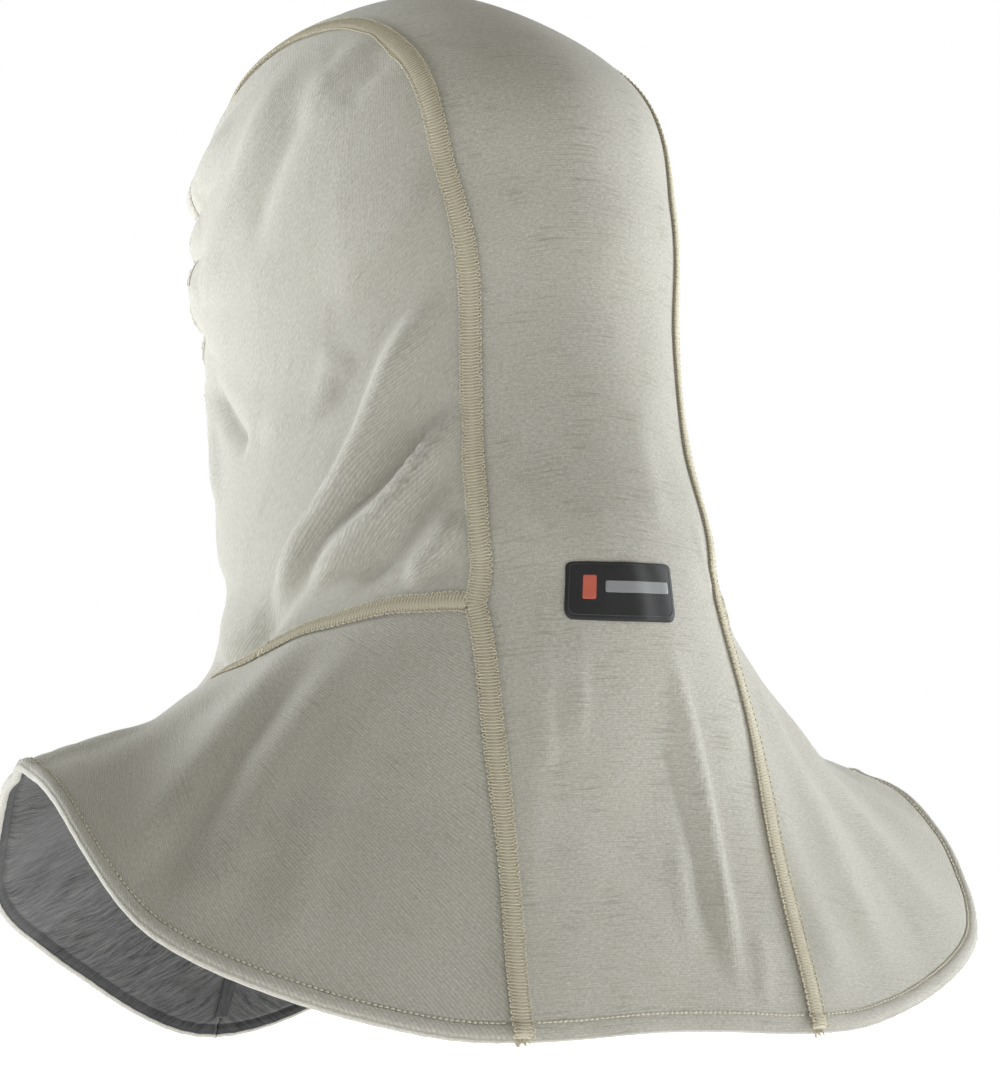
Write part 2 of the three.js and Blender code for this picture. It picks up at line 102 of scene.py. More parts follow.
SIDES = ((1, "left"), (-1, "right"))
# Where the long seams start, as an angle round the face opening from its top.
FOREHEAD_ANGLE = 48
# Seam knots: ring position (0 crown, 1 hem), angle from the back on the left and the right.
# The shoulder seam is the same on both sides.
LONG_SEAM_UPPER = [
    (0.16, 118, 118), (0.13, 75, 73), (0.18, 52, 49), (0.30, 40, 38), (0.42, 35, 34),
    (0.60, 39, 33), (0.78, 40, 32),
]
LONG_SEAM_LOWER = [(0.78, 40, 32), (0.84, 32, 31), (0.91, 25, 25), (1.0, 20, 19)]
SHOULDER_SEAM = [
    (0.78, 54), (0.80, 72), (0.84, 92), (0.84, 120), (0.83, 150), (0.835, 180),
]
THROAT = 0.835
# The face opening: ring positions of its top and bottom, half its width in degrees.
FACE_TOP, FACE_BOTTOM, FACE_HALF_ANGLE = 0.17, 0.52, 46.5
FACE_MIDDLE, FACE_HALF = (FACE_TOP + FACE_BOTTOM) / 2, (FACE_BOTTOM - FACE_TOP) / 2

# Layers: offsets of the inner and the outer face from the body form.
LINING = (0.0, 1.0)
BARRIER = (1.3, 1.7)
OUTER = (2.0, 3.2)
SEAM_GAP = 0.25
HEM_WIDTH = 5.8
LABEL_SIZE = (47.0, 23.0)
# The label's centre as ring position and angle, and the offset of its top.
LABEL_RING, LABEL_ANGLE, LABEL_TOP = 0.76, 6.0, 3.85

# ---- folds
# Each fold is an arc: height, width above it, width below it, and its start, middle and end
# as ring position and angle. A negative height is a valley. Heights and widths are in mm.
LEFT_FOLDS = [
    # side of the head, falling forward and down from the long seam
    (8.5, 8, 5, [(0.42, 38), (0.60, 69), (0.80, 95)]),
    (-5.0, 5, 7, [(0.51, 39), (0.60, 60), (0.76, 89)]),
    (6.5, 5.5, 3.6, [(0.53, 38), (0.64, 60), (0.77, 83)]),
    (-3.4, 4.5, 7, [(0.58, 42), (0.68, 56), (0.77, 69)]),
    (4.4, 4.5, 3.8, [(0.65, 43), (0.71, 51), (0.76, 57)]),
    # temple and cheek
    (3.6, 10, 8, [(0.17, 84), (0.30, 97), (0.41, 118)]),
    (-2.4, 8, 8, [(0.20, 74), (0.29, 83), (0.38, 92)]),
    (1.6, 6, 7, [(0.16, 56), (0.21, 72), (0.26, 80)]),
    (-1.5, 6, 6, [(0.19, 52), (0.22, 61), (0.25, 67)]),
    (2.8, 5, 7, [(0.47, 67), (0.52, 76), (0.55, 96)]),
    (1.3, 4, 4, [(0.47, 73), (0.48, 69), (0.49, 64)]),
    (-6.0, 8, 5, [(0.48, 121), (0.52, 111), (0.56, 100)]),
    (2.6, 6, 6, [(0.47, 130), (0.53, 123), (0.62, 121)]),
    (2.2, 8, 11, [(0.30, 39), (0.37, 51), (0.43, 70)]),
    (-2.0, 5, 5, [(0.32, 133), (0.31, 124), (0.29, 115)]),
    (2.0, 5, 5, [(0.35, 133), (0.34, 125), (0.32, 116)]),
    (-1.8, 4, 5, [(0.42, 131), (0.42, 124), (0.41, 117)]),
    # bib, fanning from the neck to the hem
    (3.4, 10, 10, [(0.79, 74), (0.88, 70), (1.0, 68)]),
    (2.8, 9, 9, [(0.80, 60), (0.90, 58), (1.0, 57)]),
    (-2.4, 8, 8, [(0.82, 65), (0.91, 64), (1.0, 63)]),
    (1.8, 8, 8, [(0.80, 52), (0.90, 49), (1.0, 47)]),
    (-1.0, 9, 9, [(0.82, 83), (0.91, 80), (1.0, 78)]),
    (1.2, 10, 10, [(0.80, 96), (0.90, 99), (1.0, 101)]),
    # crease where the neck meets the bib, and the hem drawn in at the front
    (-11.0, 20, 8, [(0.77, 80), (0.82, 108), (0.82, 138)]),
    (-7.0, 26, 26, [(0.98, 96), (1.0, 119), (0.98, 142)]),
]
BACK_FOLDS = [
    # strip below the neck
    (2.2, 3.2, 3.0, [(0.73, 26), (0.80, 24), (0.87, 21)]),
    (1.9, 2.2, 2.0, [(0.79, 18), (0.82, 16), (0.85, 15)]),
    (2.9, 3.6, 2.5, [(0.79, -5), (0.88, -12), (0.99, -9)]),
    (-1.5, 3.5, 4, [(0.83, -3), (0.89, -8), (0.96, -7)]),
    (0.9, 3, 3, [(0.89, -5), (0.93, -4), (0.96, -4)]),
    (0.8, 3, 3, [(0.94, -16), (0.97, -14), (0.99, -12)]),
    (0.7, 6, 6, [(0.84, 22), (0.90, 22), (0.95, 20)]),
    # strip at the neck
    (1.0, 3, 3, [(0.65, -23), (0.71, -25), (0.77, -29)]),
    (0.7, 4, 4, [(0.60, 30), (0.64, 28), (0.68, 26)]),
    (0.8, 4, 4, [(0.64, 13), (0.68, 11), (0.72, 9)]),
    (0.9, 6, 6, [(0.52, -8), (0.60, -7), (0.68, -8)]),
]
RIGHT_FOLDS = [
    # bib
    (1.8, 10, 10, [(0.80, 44), (0.90, 41), (1.0, 35)]),
    (-1.3, 9, 9, [(0.82, 50), (0.91, 48), (1.0, 44)]),
    (1.7, 10, 10, [(0.81, 57), (0.90, 56), (1.0, 52)]),
    (1.1, 8, 8, [(0.86, 31), (0.92, 29), (0.99, 25)]),
    (1.9, 12, 12, [(0.79, 76), (0.90, 73), (1.0, 70)]),
    (1.4, 11, 11, [(0.80, 98), (0.90, 100), (1.0, 102)]),
    (-6.5, 15, 9, [(0.77, 80), (0.82, 108), (0.82, 138)]),
    # side of the head
    (4.0, 9, 7, [(0.46, 46), (0.60, 68), (0.76, 94)]),
    (-2.6, 6, 8, [(0.55, 47), (0.65, 67), (0.75, 84)]),
    (2.6, 6, 6, [(0.58, 40), (0.67, 58), (0.77, 74)]),
    (2.2, 10, 10, [(0.20, 88), (0.31, 99), (0.40, 115)]),
    (-3.4, 7, 6, [(0.49, 119), (0.52, 111), (0.56, 104)]),
]
# folds that both sides share: pleats at the face edge, the shoulder point, chin and chest
PAIRED_FOLDS = [
    (2.4, 5, 5, [(0.30, 133), (0.28, 119), (0.24, 104)]),
    (2.2, 5, 6, [(0.39, 132), (0.39, 124), (0.38, 116)]),
    (3.3, 6, 6, [(0.90, 92), (0.97, 92), (1.05, 93)]),
    (2.4, 9, 9, [(0.60, 140), (0.69, 155), (0.77, 170)]),
    (-2.0, 8, 8, [(0.56, 152), (0.62, 161), (0.68, 170)]),
    (1.8, 10, 10, [(0.84, 128), (0.92, 131), (1.0, 134)]),
    (1.4, 10, 10, [(0.84, 156), (0.92, 157), (1.0, 158)]),
]
# Gathers round the face edge, and about how far that edge is from the opening's middle.
RUFFLES = 26
RUFFLE_HEIGHT = 3.0
RUFFLE_REACH = 26.0
RUFFLE_LIMIT = 90
FACE_EDGE_REACH = 62.0

# ---- surface
def oval_ring(z, half, centre, depth):
    angle = np.radians(np.arange(0, 181, 30))
    return np.stack([half * np.sin(angle), centre + depth * np.cos(angle), np.full(7, z)], -1)


def superellipse(share, power):
    return (1 - (1 - share) ** power) ** (1 / power)


def dome_ring(share, centre):
    half = DOME_HALF * superellipse(share, DOME_ROUNDNESS)
    depth = DOME_DEPTH * superellipse(share, DOME_DEPTH_ROUNDNESS)
    return oval_ring(-DOME_HEIGHT * share, half, centre, depth)


def whole_ring(half):
    half = np.array(half, float)
    mirrored = half[5:0:-1] * (-1, 1, 1)
    return np.concatenate([half, mirrored])


def knot_table():
    rings = [whole_ring(np.zeros((7, 3)))]
    rings += [whole_ring(dome_ring(*row)) for row in DOME_RINGS]
    rings += [whole_ring(oval_ring(*row)) for row in NECK_RINGS]
    rings += [whole_ring(SHOULDER_RING), whole_ring(HEM_RING)]
    over_the_top = np.roll(rings[1], -SECTORS // 2, axis=0)
    beyond_hem = 2 * rings[-1] - rings[-2]
    return np.array([over_the_top] + rings + [beyond_hem])


KNOTS = knot_table()
LAST = len(KNOTS) - 3


def spline_weights(f):
    return np.stack([
        0.5 * (-f + 2 * f**2 - f**3),
        0.5 * (2 - 5 * f**2 + 3 * f**3),
        0.5 * (f + 4 * f**2 - 3 * f**3),
        0.5 * (-f**2 + f**3),
    ])


def surface(plan):
    """Points of the lining's inner face. Plan distance is ring position, angle from the back."""
    reach = np.hypot(plan[..., 0], plan[..., 1]) * LAST
    turn = (np.arctan2(plan[..., 0], plan[..., 1]) / (2 * np.pi) * SECTORS) % SECTORS
    sector = np.floor(turn).astype(int)
    ring = np.minimum(np.floor(reach).astype(int), LAST - 1)
    along = spline_weights(reach - ring)
    round_it = spline_weights(turn - sector)
    total = np.zeros(plan.shape[:-1] + (3,))
    for a in range(4):
        for b in range(4):
            knot = KNOTS[ring + a, (sector + b - 1) % SECTORS]
            total += (along[a] * round_it[b])[..., None] * knot
    return total


def unit(vectors):
    return vectors / np.linalg.norm(vectors, axis=-1, keepdims=True)


PLAN_STEP = 0.0015


def differences(point_at, plan):
    """Changes of a point between half a step either way, along each plan axis."""
    east, north = np.eye(2) * PLAN_STEP
    return (point_at(plan + east) - point_at(plan - east),
            point_at(plan + north) - point_at(plan - north))


def cross_normal(point_at, plan):
    return unit(np.cross(*differences(point_at, plan)))


def polar(ring, degrees, side=1):
    a = np.radians(degrees)
    return np.stack([side * ring * np.sin(a), ring * np.cos(a)], -1)


def smoothed(points, steps=8):
    points = np.array(points, float)
    padded = np.concatenate([[2 * points[0] - points[1]], points, [2 * points[-1] - points[-2]]])
    line = []
    for k in range(len(points) - 1):
        weights = spline_weights(np.arange(steps) / steps)
        line.append(np.einsum("ws,wd->sd", weights, padded[k:k + 4]))
    line.append(points[-1:])
    return np.concatenate(line)


def running(points, axis=0):
    """Distance along the rows or columns of a grid of points, or along a line."""
    step = np.linalg.norm(np.diff(points, axis=axis), axis=-1)
    start = np.zeros_like(step.take([0], axis))
    return np.concatenate([start, np.cumsum(step, axis=axis)], axis=axis)


# ---- drape
FOLD_FADE = 0.28


class Fold:
    """A ridge or valley along a line on the body form, fading out at both ends."""

    def __init__(self, height, above, below, line, side=1):
        ring, degrees = np.array(line, float).T
        self.points = surface(smoothed(polar(ring, degrees, side), 10))
        self.height = height
        self.widths = (above, below) if side > 0 else (below, above)
        reach = 3 * max(above, below)
        self.low = self.points.min(0) - reach
        self.high = self.points.max(0) + reach
        along = running(self.points)
        self.at = along / along[-1]

    def lift(self, points, normals):
        found = np.zeros(len(points))
        inside = np.all((points > self.low) & (points < self.high), axis=1)
        if not inside.any():
            return found
        p = points[inside]
        start, span = self.points[:-1], np.diff(self.points, axis=0)
        away = p[:, None] - start
        share = np.clip((away * span).sum(-1) / (span**2).sum(-1), 0, 1)
        nearest = away - share[..., None] * span
        distance = np.linalg.norm(nearest, axis=-1)
        best = distance.argmin(1)
        row = np.arange(len(p))
        along = self.at[best] + share[row, best] * np.diff(self.at)[best]
        side = (np.cross(span[best], nearest[row, best]) * normals[inside]).sum(-1)
        width = np.where(side > 0, self.widths[0], self.widths[1])
        fade = np.clip(np.minimum(along, 1 - along) / FOLD_FADE, 0, 1)
        fade = fade * fade * (3 - 2 * fade)
        found[inside] = self.height * fade * np.exp(-(distance[row, best] / width) ** 2)
        return found


FOLD_SHAPES = [Fold(*row) for row in LEFT_FOLDS + BACK_FOLDS + PAIRED_FOLDS]
FOLD_SHAPES += [Fold(*row, side=-1) for row in RIGHT_FOLDS + PAIRED_FOLDS]


def face_place(plan):
    """Angle round the face opening from its top, and distance outside its edge in mm."""
    ring = np.hypot(plan[..., 0], plan[..., 1])
    across = np.degrees(np.arctan2(plan[..., 0], -plan[..., 1])) / FACE_HALF_ANGLE
    up = (FACE_MIDDLE - ring) / FACE_HALF
    return np.arctan2(across, up), (np.hypot(across, up) - 1) * FACE_EDGE_REACH


def drape(plan, points, normals):
    """How far the cloth stands off the body form at each point, in millimetres."""
    lift = np.zeros(len(points))
    for fold in FOLD_SHAPES:
        lift += fold.lift(points, normals)
    # broad slack, then small slack
    x, y, z = points.T
    lift += 0.45 * np.sin(x / 17 + 1.3 * np.sin(z / 31)) * np.sin(z / 23 + y / 29)
    lift += 0.25 * np.sin(x / 7.5 + y / 9 + 1) * np.sin(z / 12.5 - y / 15)
    # gathers at the face edge, and longer waves running on from them
    angle, outside = face_place(plan)
    phase = RUFFLES * (angle + 0.05 * np.sin(3 * angle + 1) + 0.03 * np.sin(7 * angle))
    near = np.exp(-np.maximum(outside, 0) / RUFFLE_REACH)
    far = np.exp(-np.maximum(outside, 0) / (2.4 * RUFFLE_REACH))
    strength = (0.75 + 0.35 * np.sin(5 * angle + 2)) * (0.5 + 0.6 * np.sin(angle) ** 2)
    shape = 2.2 * np.abs(np.cos(phase / 2)) ** 0.9 - 1.3
    gathers = RUFFLE_HEIGHT * strength * near * shape
    gathers += 1.6 * far * np.cos(phase * 10 / RUFFLES + 0.7)
    return lift + gathers * (outside < RUFFLE_LIMIT)


def cloth(plan):
    flat = plan.reshape(-1, 2)
    points = surface(flat)
    normals = cross_normal(surface, flat)
    lifted = points + normals * drape(flat, points, normals)[:, None]
    return lifted.reshape(plan.shape[:-1] + (3,))


def cloth_normal(plan):
    return cross_normal(cloth, plan)


# ---- seams and panels
def lengths(line):
    return running(surface(line))


def between_stations(at, along, values):
    return np.stack([np.interp(at, along, values[:, k]) for k in (0, 1)], -1)


def resample(line, at):
    return between_stations(at, lengths(line), line)


def evenly(line, count):
    return resample(line, np.linspace(0, lengths(line)[-1], count + 1))


def face_edge(degrees, side=1):
    a = np.radians(degrees)
    return polar(FACE_MIDDLE - FACE_HALF * np.cos(a), 180 - FACE_HALF_ANGLE * np.sin(a), side)


def seam_knots(side, table):
    return [polar(ring, left if side > 0 else right, side) for ring, left, right in table]


# Even stations on a raw panel: round the face, down the head, down the bib, across the strip.
ROUND, DOWN_HEAD, DOWN_BIB, ACROSS = 60, 90, 56, 40


def seams_of(side):
    upper = [face_edge(FOREHEAD_ANGLE, side)] + seam_knots(side, LONG_SEAM_UPPER)
    lower = seam_knots(side, LONG_SEAM_LOWER)
    around = lower[:1] + [polar(ring, degrees, side) for ring, degrees in SHOULDER_SEAM]
    hem_angle = LONG_SEAM_LOWER[-1][1 if side > 0 else 2]
    return {
        "upper": evenly(smoothed(upper, 12), DOWN_HEAD),
        "lower": evenly(smoothed(lower, 12), DOWN_BIB),
        "shoulder": evenly(smoothed(around, 12), ROUND),
        "face": evenly(face_edge(np.linspace(FOREHEAD_ANGLE, 180, 200), side), ROUND),
        "hem": evenly(polar(1.0, np.linspace(hem_angle, 180, 200), side), ROUND),
        "hem_angle": hem_angle,
    }


SEAMS = {side: seams_of(side) for side, _ in SIDES}
CHIN = evenly(polar(np.linspace(FACE_BOTTOM, THROAT, 100), 180.0), DOWN_HEAD)
FRONT = evenly(polar(np.linspace(THROAT, 1, 100), 180.0), DOWN_BIB)


def patch(first_row, last_row, first_column, last_column):
    """A grid of plan points between four curves."""
    s = np.linspace(0, 1, len(first_row))[None, :, None]
    t = np.linspace(0, 1, len(first_column))[:, None, None]
    across = first_column[:, None] * (1 - s) + last_column[:, None] * s
    down = first_row[None] * (1 - t) + last_row[None] * t
    top = first_row[0] * (1 - s) + first_row[-1] * s
    bottom = last_row[0] * (1 - s) + last_row[-1] * s
    return across + down - (top * (1 - t) + bottom * t)


def turned(grid):
    return np.swapaxes(grid, 0, 1)


def regrid(grid, start, end):
    """Rows respaced along every column: close ones near both ends, even ones between."""
    middle = lengths(grid[:, grid.shape[1] // 2])[-1]
    count = max(2, int(round((middle - end[-1] - start[-1]) / GRID_STEP)))
    columns = []
    for column in turned(grid):
        total = lengths(column)[-1]
        inner = np.linspace(start[-1], total - end[-1], count + 1)
        at = np.concatenate([start, inner[1:-1], total - np.array(end[::-1])])
        columns.append(resample(column, at))
    return np.stack(columns, 1)


# Distances of a panel's close rows from a seam, the face edge and the hem.
SEAM_STATIONS = [SEAM_GAP, 1.6, 3.0, 3.9, 4.8, 6.2]
FACE_STATIONS = [0.4, 2.0, 4.0, 6.0, 8.0]
HEM_STATIONS = [0.0, 0.5, 1.1, 1.9, 2.8, 3.7, 4.5, 5.1, 5.6, 6.1, 6.6, 7.4, 8.6, 10.5]
GRID_STEP = 2.2


def panel_grid(raw, row_start, row_end):
    wide = turned(regrid(turned(raw), SEAM_STATIONS, SEAM_STATIONS))
    return regrid(wide, row_start, row_end)


def long_seam(side):
    return np.concatenate([SEAMS[side]["upper"], SEAMS[side]["lower"][1:]])


def strip_patch():
    top = evenly(face_edge(np.linspace(-FOREHEAD_ANGLE, FOREHEAD_ANGLE, 160)), ACROSS)
    hem_arc = np.linspace(-SEAMS[-1]["hem_angle"], SEAMS[1]["hem_angle"], 160)
    return patch(top, evenly(polar(1.0, hem_arc), ACROSS), long_seam(-1), long_seam(1))


class Panel:
    """One pattern piece: its grid of plan points, draped points, normals and distances."""

    def __init__(self, raw, row_start, row_end, hemmed):
        self.hemmed = hemmed
        self.plan = panel_grid(raw, row_start, row_end)
        self.base = surface(self.plan)
        self.points = cloth(self.plan)
        self.normals = self.outward_normals()
        self.from_hem = running(self.base[::-1])[::-1] if hemmed else None
        self.uv = self.flat_lengths()

    def outward_normals(self):
        down, across = np.gradient(self.points, axis=(0, 1))
        n = unit(np.cross(across, down))
        middle = tuple(k // 2 for k in n.shape[:2])
        out = cross_normal(surface, self.plan[middle])
        return n if (n[middle] * out).sum() > 0 else -n

    def flat_lengths(self):
        """Distances across from the middle and down, or up from the hem, in centimetres."""
        down, across = running(self.base), running(self.base, 1)
        across -= across[:, -1:] / 2
        down = down - down[-1:] if self.hemmed else down
        return np.stack([across, down], -1) / 10


def make_panels():
    panels = {"strip": Panel(strip_patch(), FACE_STATIONS, HEM_STATIONS, True)}
    for side, word in SIDES:
        s = SEAMS[side]
        head = patch(s["face"], s["shoulder"], s["upper"], CHIN)
        bib = patch(s["shoulder"], s["hem"], s["lower"], FRONT)
        panels[f"{word}_side"] = Panel(head, FACE_STATIONS, SEAM_STATIONS, False)
        panels[f"{word}_bib"] = Panel(bib, SEAM_STATIONS, HEM_STATIONS, True)
    return panels


# ---- making meshes
def collected(name, points, faces, uv=None):
    """A mesh object from points in millimetres and quads or triangles."""
    mesh = bpy.data.meshes.new(name)
    mesh.from_pydata((np.asarray(points) * MM).tolist(), [], [tuple(f) for f in faces])
    mesh.validate()
    mesh.polygons.foreach_set("use_smooth", [True] * len(mesh.polygons))
    if uv is not None:
        layer = mesh.uv_layers.new(name="flat")
        loops = np.zeros(len(mesh.loops), int)
        mesh.loops.foreach_get("vertex_index", loops)
        layer.data.foreach_set("uv", np.asarray(uv)[loops].astype(np.float32).ravel())
    obj = bpy.data.objects.new(name, mesh)
    bpy.context.scene.collection.objects.link(obj)
    return obj


def whole(low, high):
    """Two grids of points as one list."""
    return np.concatenate([low.reshape(-1, 3), high.reshape(-1, 3)])


def finished(obj, material, nodes=(), body="hood"):
    obj.data.materials.append(material)
    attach(obj, body)
    if nodes:
        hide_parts(*nodes)


def grid_faces(rows, columns, first=0, flip=False, wrap=False):
    """Quads of a grid of points; wrap joins its last column to its first."""
    k = np.arange(rows * columns).reshape(rows, columns) + first
    if wrap:
        k = np.concatenate([k, k[:, :1]], axis=1)
    quads = np.stack([k[:-1, :-1], k[1:, :-1], k[1:, 1:], k[:-1, 1:]], -1).reshape(-1, 4)
    return quads[:, ::-1] if flip else quads


def shell(points_in, points_out, uv):
    """A closed sheet between two grids of points."""
    rows, columns = points_in.shape[:2]
    size = rows * columns
    faces = list(grid_faces(rows, columns, size))
    faces += list(grid_faces(rows, columns, flip=True))
    k = np.arange(size).reshape(rows, columns)
    rim = np.concatenate([k[0, :-1], k[:-1, -1], k[-1, :0:-1], k[:0:-1, 0]])
    for a, b in zip(rim, np.roll(rim, -1)):
        faces.append((a, b, b + size, a + size))
    flat = np.concatenate([uv.reshape(-1, 2)] * 2) * MM * 10
    return whole(points_in, points_out), faces, flat


def facing_out(points, faces, normals_hint):
    """Faces turned so that the first sheet's quads look along the cloth's normal."""
    a, b, c = (points[faces[0][k]] for k in range(3))
    if np.dot(np.cross(b - a, c - a), normals_hint) < 0:
        return [tuple(reversed(f)) for f in faces]
    return faces


def area_of(points):
    u = points[1:, 1:] - points[:-1, :-1]
    v = points[1:, :-1] - points[:-1, 1:]
    return float(np.linalg.norm(np.cross(u, v), axis=-1).sum() / 2) * 1e-6


# ---- materials
class Nodes:
    """Short calls for building one material's nodes."""

    def __init__(self, name):
        self.material = bpy.data.materials.new(name)
        self.material.use_nodes = True
        self.tree = self.material.node_tree
        self.shader = self.tree.nodes["Principled BSDF"]

    def add(self, kind, inputs=(), **settings):
        node = self.tree.nodes.new("ShaderNode" + kind)
        for key, value in settings.items():
            setattr(node, key, value)
        for key, value in dict(inputs).items():
            self.join(value, node.inputs[key])
        return node

    def join(self, value, socket):
        if isinstance(value, bpy.types.NodeSocket):
            self.tree.links.new(value, socket)
        else:
            socket.default_value = value

    def math(self, kind, a, b):
        return self.add("Math", {0: a, 1: b}, operation=kind).outputs[0]

    def vector_math(self, kind, a, b):
        return self.add("VectorMath", {0: a, 1: b}, operation=kind).outputs[0]

    def times(self, a, b):
        return self.math("MULTIPLY", a, b)

    def plus(self, a, b):
        return self.math("ADD", a, b)

    def flat(self):
        """Place on the flat pattern piece, in metres."""
        return self.add("UVMap", uv_map="flat").outputs[0]

    def place(self):
        return self.add("TexCoord").outputs["Object"]

    def mix(self, share, first, second):
        node = self.add("Mix", data_type="RGBA", blend_type="MIX")
        self.join(share, node.inputs[0])
        self.join(first, node.inputs[6])
        self.join(second, node.inputs[7])
        return node.outputs[2]

    def ramp(self, value, low, high, first=(0, 0, 0, 1), last=(1, 1, 1, 1)):
        node = self.add("ValToRGB")
        node.color_ramp.elements[0].position = low
        node.color_ramp.elements[1].position = high
        node.color_ramp.elements[0].color = first
        node.color_ramp.elements[1].color = last
        self.join(value, node.inputs[0])
        return node.outputs[0]

    def noise(self, vector, scale, detail=2.0, rough=0.5):
        inputs = {"Vector": vector, "Scale": scale, "Detail": detail, "Roughness": rough}
        return self.add("TexNoise", inputs).outputs["Fac"]

    def turned(self, vector, degrees, scale=None):
        """The vector turned about Z, then scaled along the turned axes."""
        turn = self.add("Mapping", {"Vector": vector})
        turn.inputs["Rotation"].default_value = (0, 0, math.radians(degrees))
        if scale is None:
            return turn.outputs[0]
        stretch = self.add("Mapping", {"Vector": turn.outputs[0]})
        stretch.inputs["Scale"].default_value = scale
        return stretch.outputs[0]

    def streaks(self, vector, degrees, stretch, scale, detail, rough):
        """Noise drawn out along the turned Y axis."""
        return self.noise(self.turned(vector, degrees, (1.0, stretch, 1.0)), scale, detail, rough)

    def blend(self, first, share, second, other_share):
        return self.plus(self.times(first, share), self.times(second, other_share))

    def wave(self, vector, pitch, direction, distortion=0.0, detail_scale=1.0):
        """A sine profile repeated each pitch metres along X or Y."""
        scale = 2 * math.pi / (20.0 * pitch)
        inputs = {"Vector": vector, "Scale": scale, "Distortion": distortion,
                  "Detail": 2.0, "Detail Scale": detail_scale}
        node = self.add("TexWave", inputs, bands_direction=direction, wave_profile="SIN")
        return node.outputs["Fac"]

    def bump(self, height, strength, distance, normal=None):
        inputs = {"Height": height, "Strength": strength, "Distance": distance}
        if normal is not None:
            inputs["Normal"] = normal
        return self.add("Bump", inputs).outputs[0]

    def finish(self, colour, roughness, normal=None, **fixed):
        self.join(colour, self.shader.inputs["Base Color"])
        self.join(roughness, self.shader.inputs["Roughness"])
        if normal is not None:
            self.join(normal, self.shader.inputs["Normal"])
        for key, value in fixed.items():
            self.shader.inputs[key.replace("_", " ")].default_value = value
        return self.material


def srgb(r, g, b):
    def one(c):
        c = c / 255
        return c / 12.92 if c <= 0.04045 else ((c + 0.055) / 1.055) ** 2.4
    return (one(r), one(g), one(b), 1.0)


KNIT_LIGHT = srgb(222, 220, 213)
KNIT_BASE = srgb(205, 203, 195)
KNIT_DARK = srgb(158, 155, 143)
THREAD_LIGHT = srgb(226, 220, 200)
THREAD_DARK = srgb(194, 187, 164)


def knit_material(name, turn, rows=0.22, slubs=0.45):
    """Fine knit: wales along turned Y, courses across, slub yarns, fuzz, painted shade between
    courses.
    """
    n = Nodes(name)
    flat = n.flat()
    vector = n.turned(flat, turn)
    wales = n.wave(vector, 0.00105, "X", 0.2, 60.0)
    courses = n.wave(vector, 0.0010, "Y", 0.15, 60.0)
    stitch = n.times(wales, n.plus(n.times(courses, 0.55), 0.45))
    wale_tone = n.streaks(flat, turn, 0.5, 1500.0, 2.0, 0.6)
    yarn_tone = n.noise(n.turned(flat, turn, (0.42, 1.0, 1.0)), 1150.0, 3.0, 0.7)
    slub_noise = n.noise(n.turned(flat, turn, (0.07, 1.0, 1.0)), 900.0)
    cluster = n.ramp(n.noise(flat, 55.0), 0.42, 0.62)
    slub = n.times(n.ramp(slub_noise, 0.5, 0.72), cluster)
    broad = n.noise(flat, 22.0, 3.0, 0.6)
    tone = n.blend(wale_tone, 0.4, yarn_tone, 0.6)
    colour = n.ramp(tone, 0.34, 0.66, KNIT_DARK, KNIT_LIGHT)
    colour = n.mix(0.3, colour, KNIT_BASE)
    # painted shade: the colour darkens in the grooves between the courses, as strong as rows
    shade_between_courses = n.times(n.math("SUBTRACT", 1.0, courses), rows)
    colour = n.mix(shade_between_courses, colour, srgb(140, 136, 123))
    colour = n.mix(n.times(slub, slubs), colour, srgb(142, 139, 126))
    colour = n.mix(n.times(n.ramp(broad, 0.35, 0.7), 0.16), colour, srgb(190, 186, 170))
    height = n.plus(n.times(stitch, 0.45), yarn_tone)
    height = n.math("SUBTRACT", height, n.times(slub, 0.3))
    normal = n.bump(height, 0.6, 0.0003)
    normal = n.bump(n.noise(flat, 140.0, 3.0, 0.6), 0.3, 0.0010, normal)
    rough = n.plus(0.80, n.times(tone, 0.15))
    return n.finish(colour, rough, normal, Sheen_Weight=0.25, Sheen_Roughness=0.55,
                    Specular_IOR_Level=0.25)


def melange_material(name):
    """Grey lining: long wavy streaks of dark and light fibre, painted shade between the wales,
    darker outside the topstitch.
    """
    n = Nodes(name)
    flat = n.flat()
    warp = n.add("TexNoise", {"Vector": flat, "Scale": 45.0, "Detail": 2.0}).outputs["Color"]
    warp = n.vector_math("SUBTRACT", warp, (0.5, 0.5, 0.5))
    warp = n.vector_math("MULTIPLY", warp, (0.010, 0.004, 0))
    place = n.vector_math("ADD", flat, warp)
    wavy = n.streaks(place, 0, 0.16, 520.0, 3.0, 0.7)
    fine = n.streaks(place, 0, 0.4, 1900.0, 3.0, 0.7)
    wales = n.wave(place, 0.0013, "X", 0.8, 80.0)
    tone = n.blend(wavy, 0.7, fine, 0.3)
    colour = n.ramp(tone, 0.36, 0.64, srgb(30, 30, 30), srgb(112, 112, 110))
    # painted shade: the colour darkens in the grooves between the wales
    shade_between_wales = n.times(n.math("SUBTRACT", 1.0, wales), 0.35)
    colour = n.mix(shade_between_wales, colour, srgb(30, 30, 32))
    depth = n.add("SeparateXYZ", {0: flat}).outputs[1]
    edge = n.times(n.math("GREATER_THAN", depth, -0.0056), 0.55)
    colour = n.mix(edge, colour, srgb(28, 28, 30))
    height = n.plus(wales, n.times(tone, 0.25))
    normal = n.bump(height, 0.25, 0.0003)
    return n.finish(colour, n.plus(0.84, n.times(tone, 0.1)), normal,
                    Sheen_Weight=0.2, Sheen_Roughness=0.6, Specular_IOR_Level=0.2)


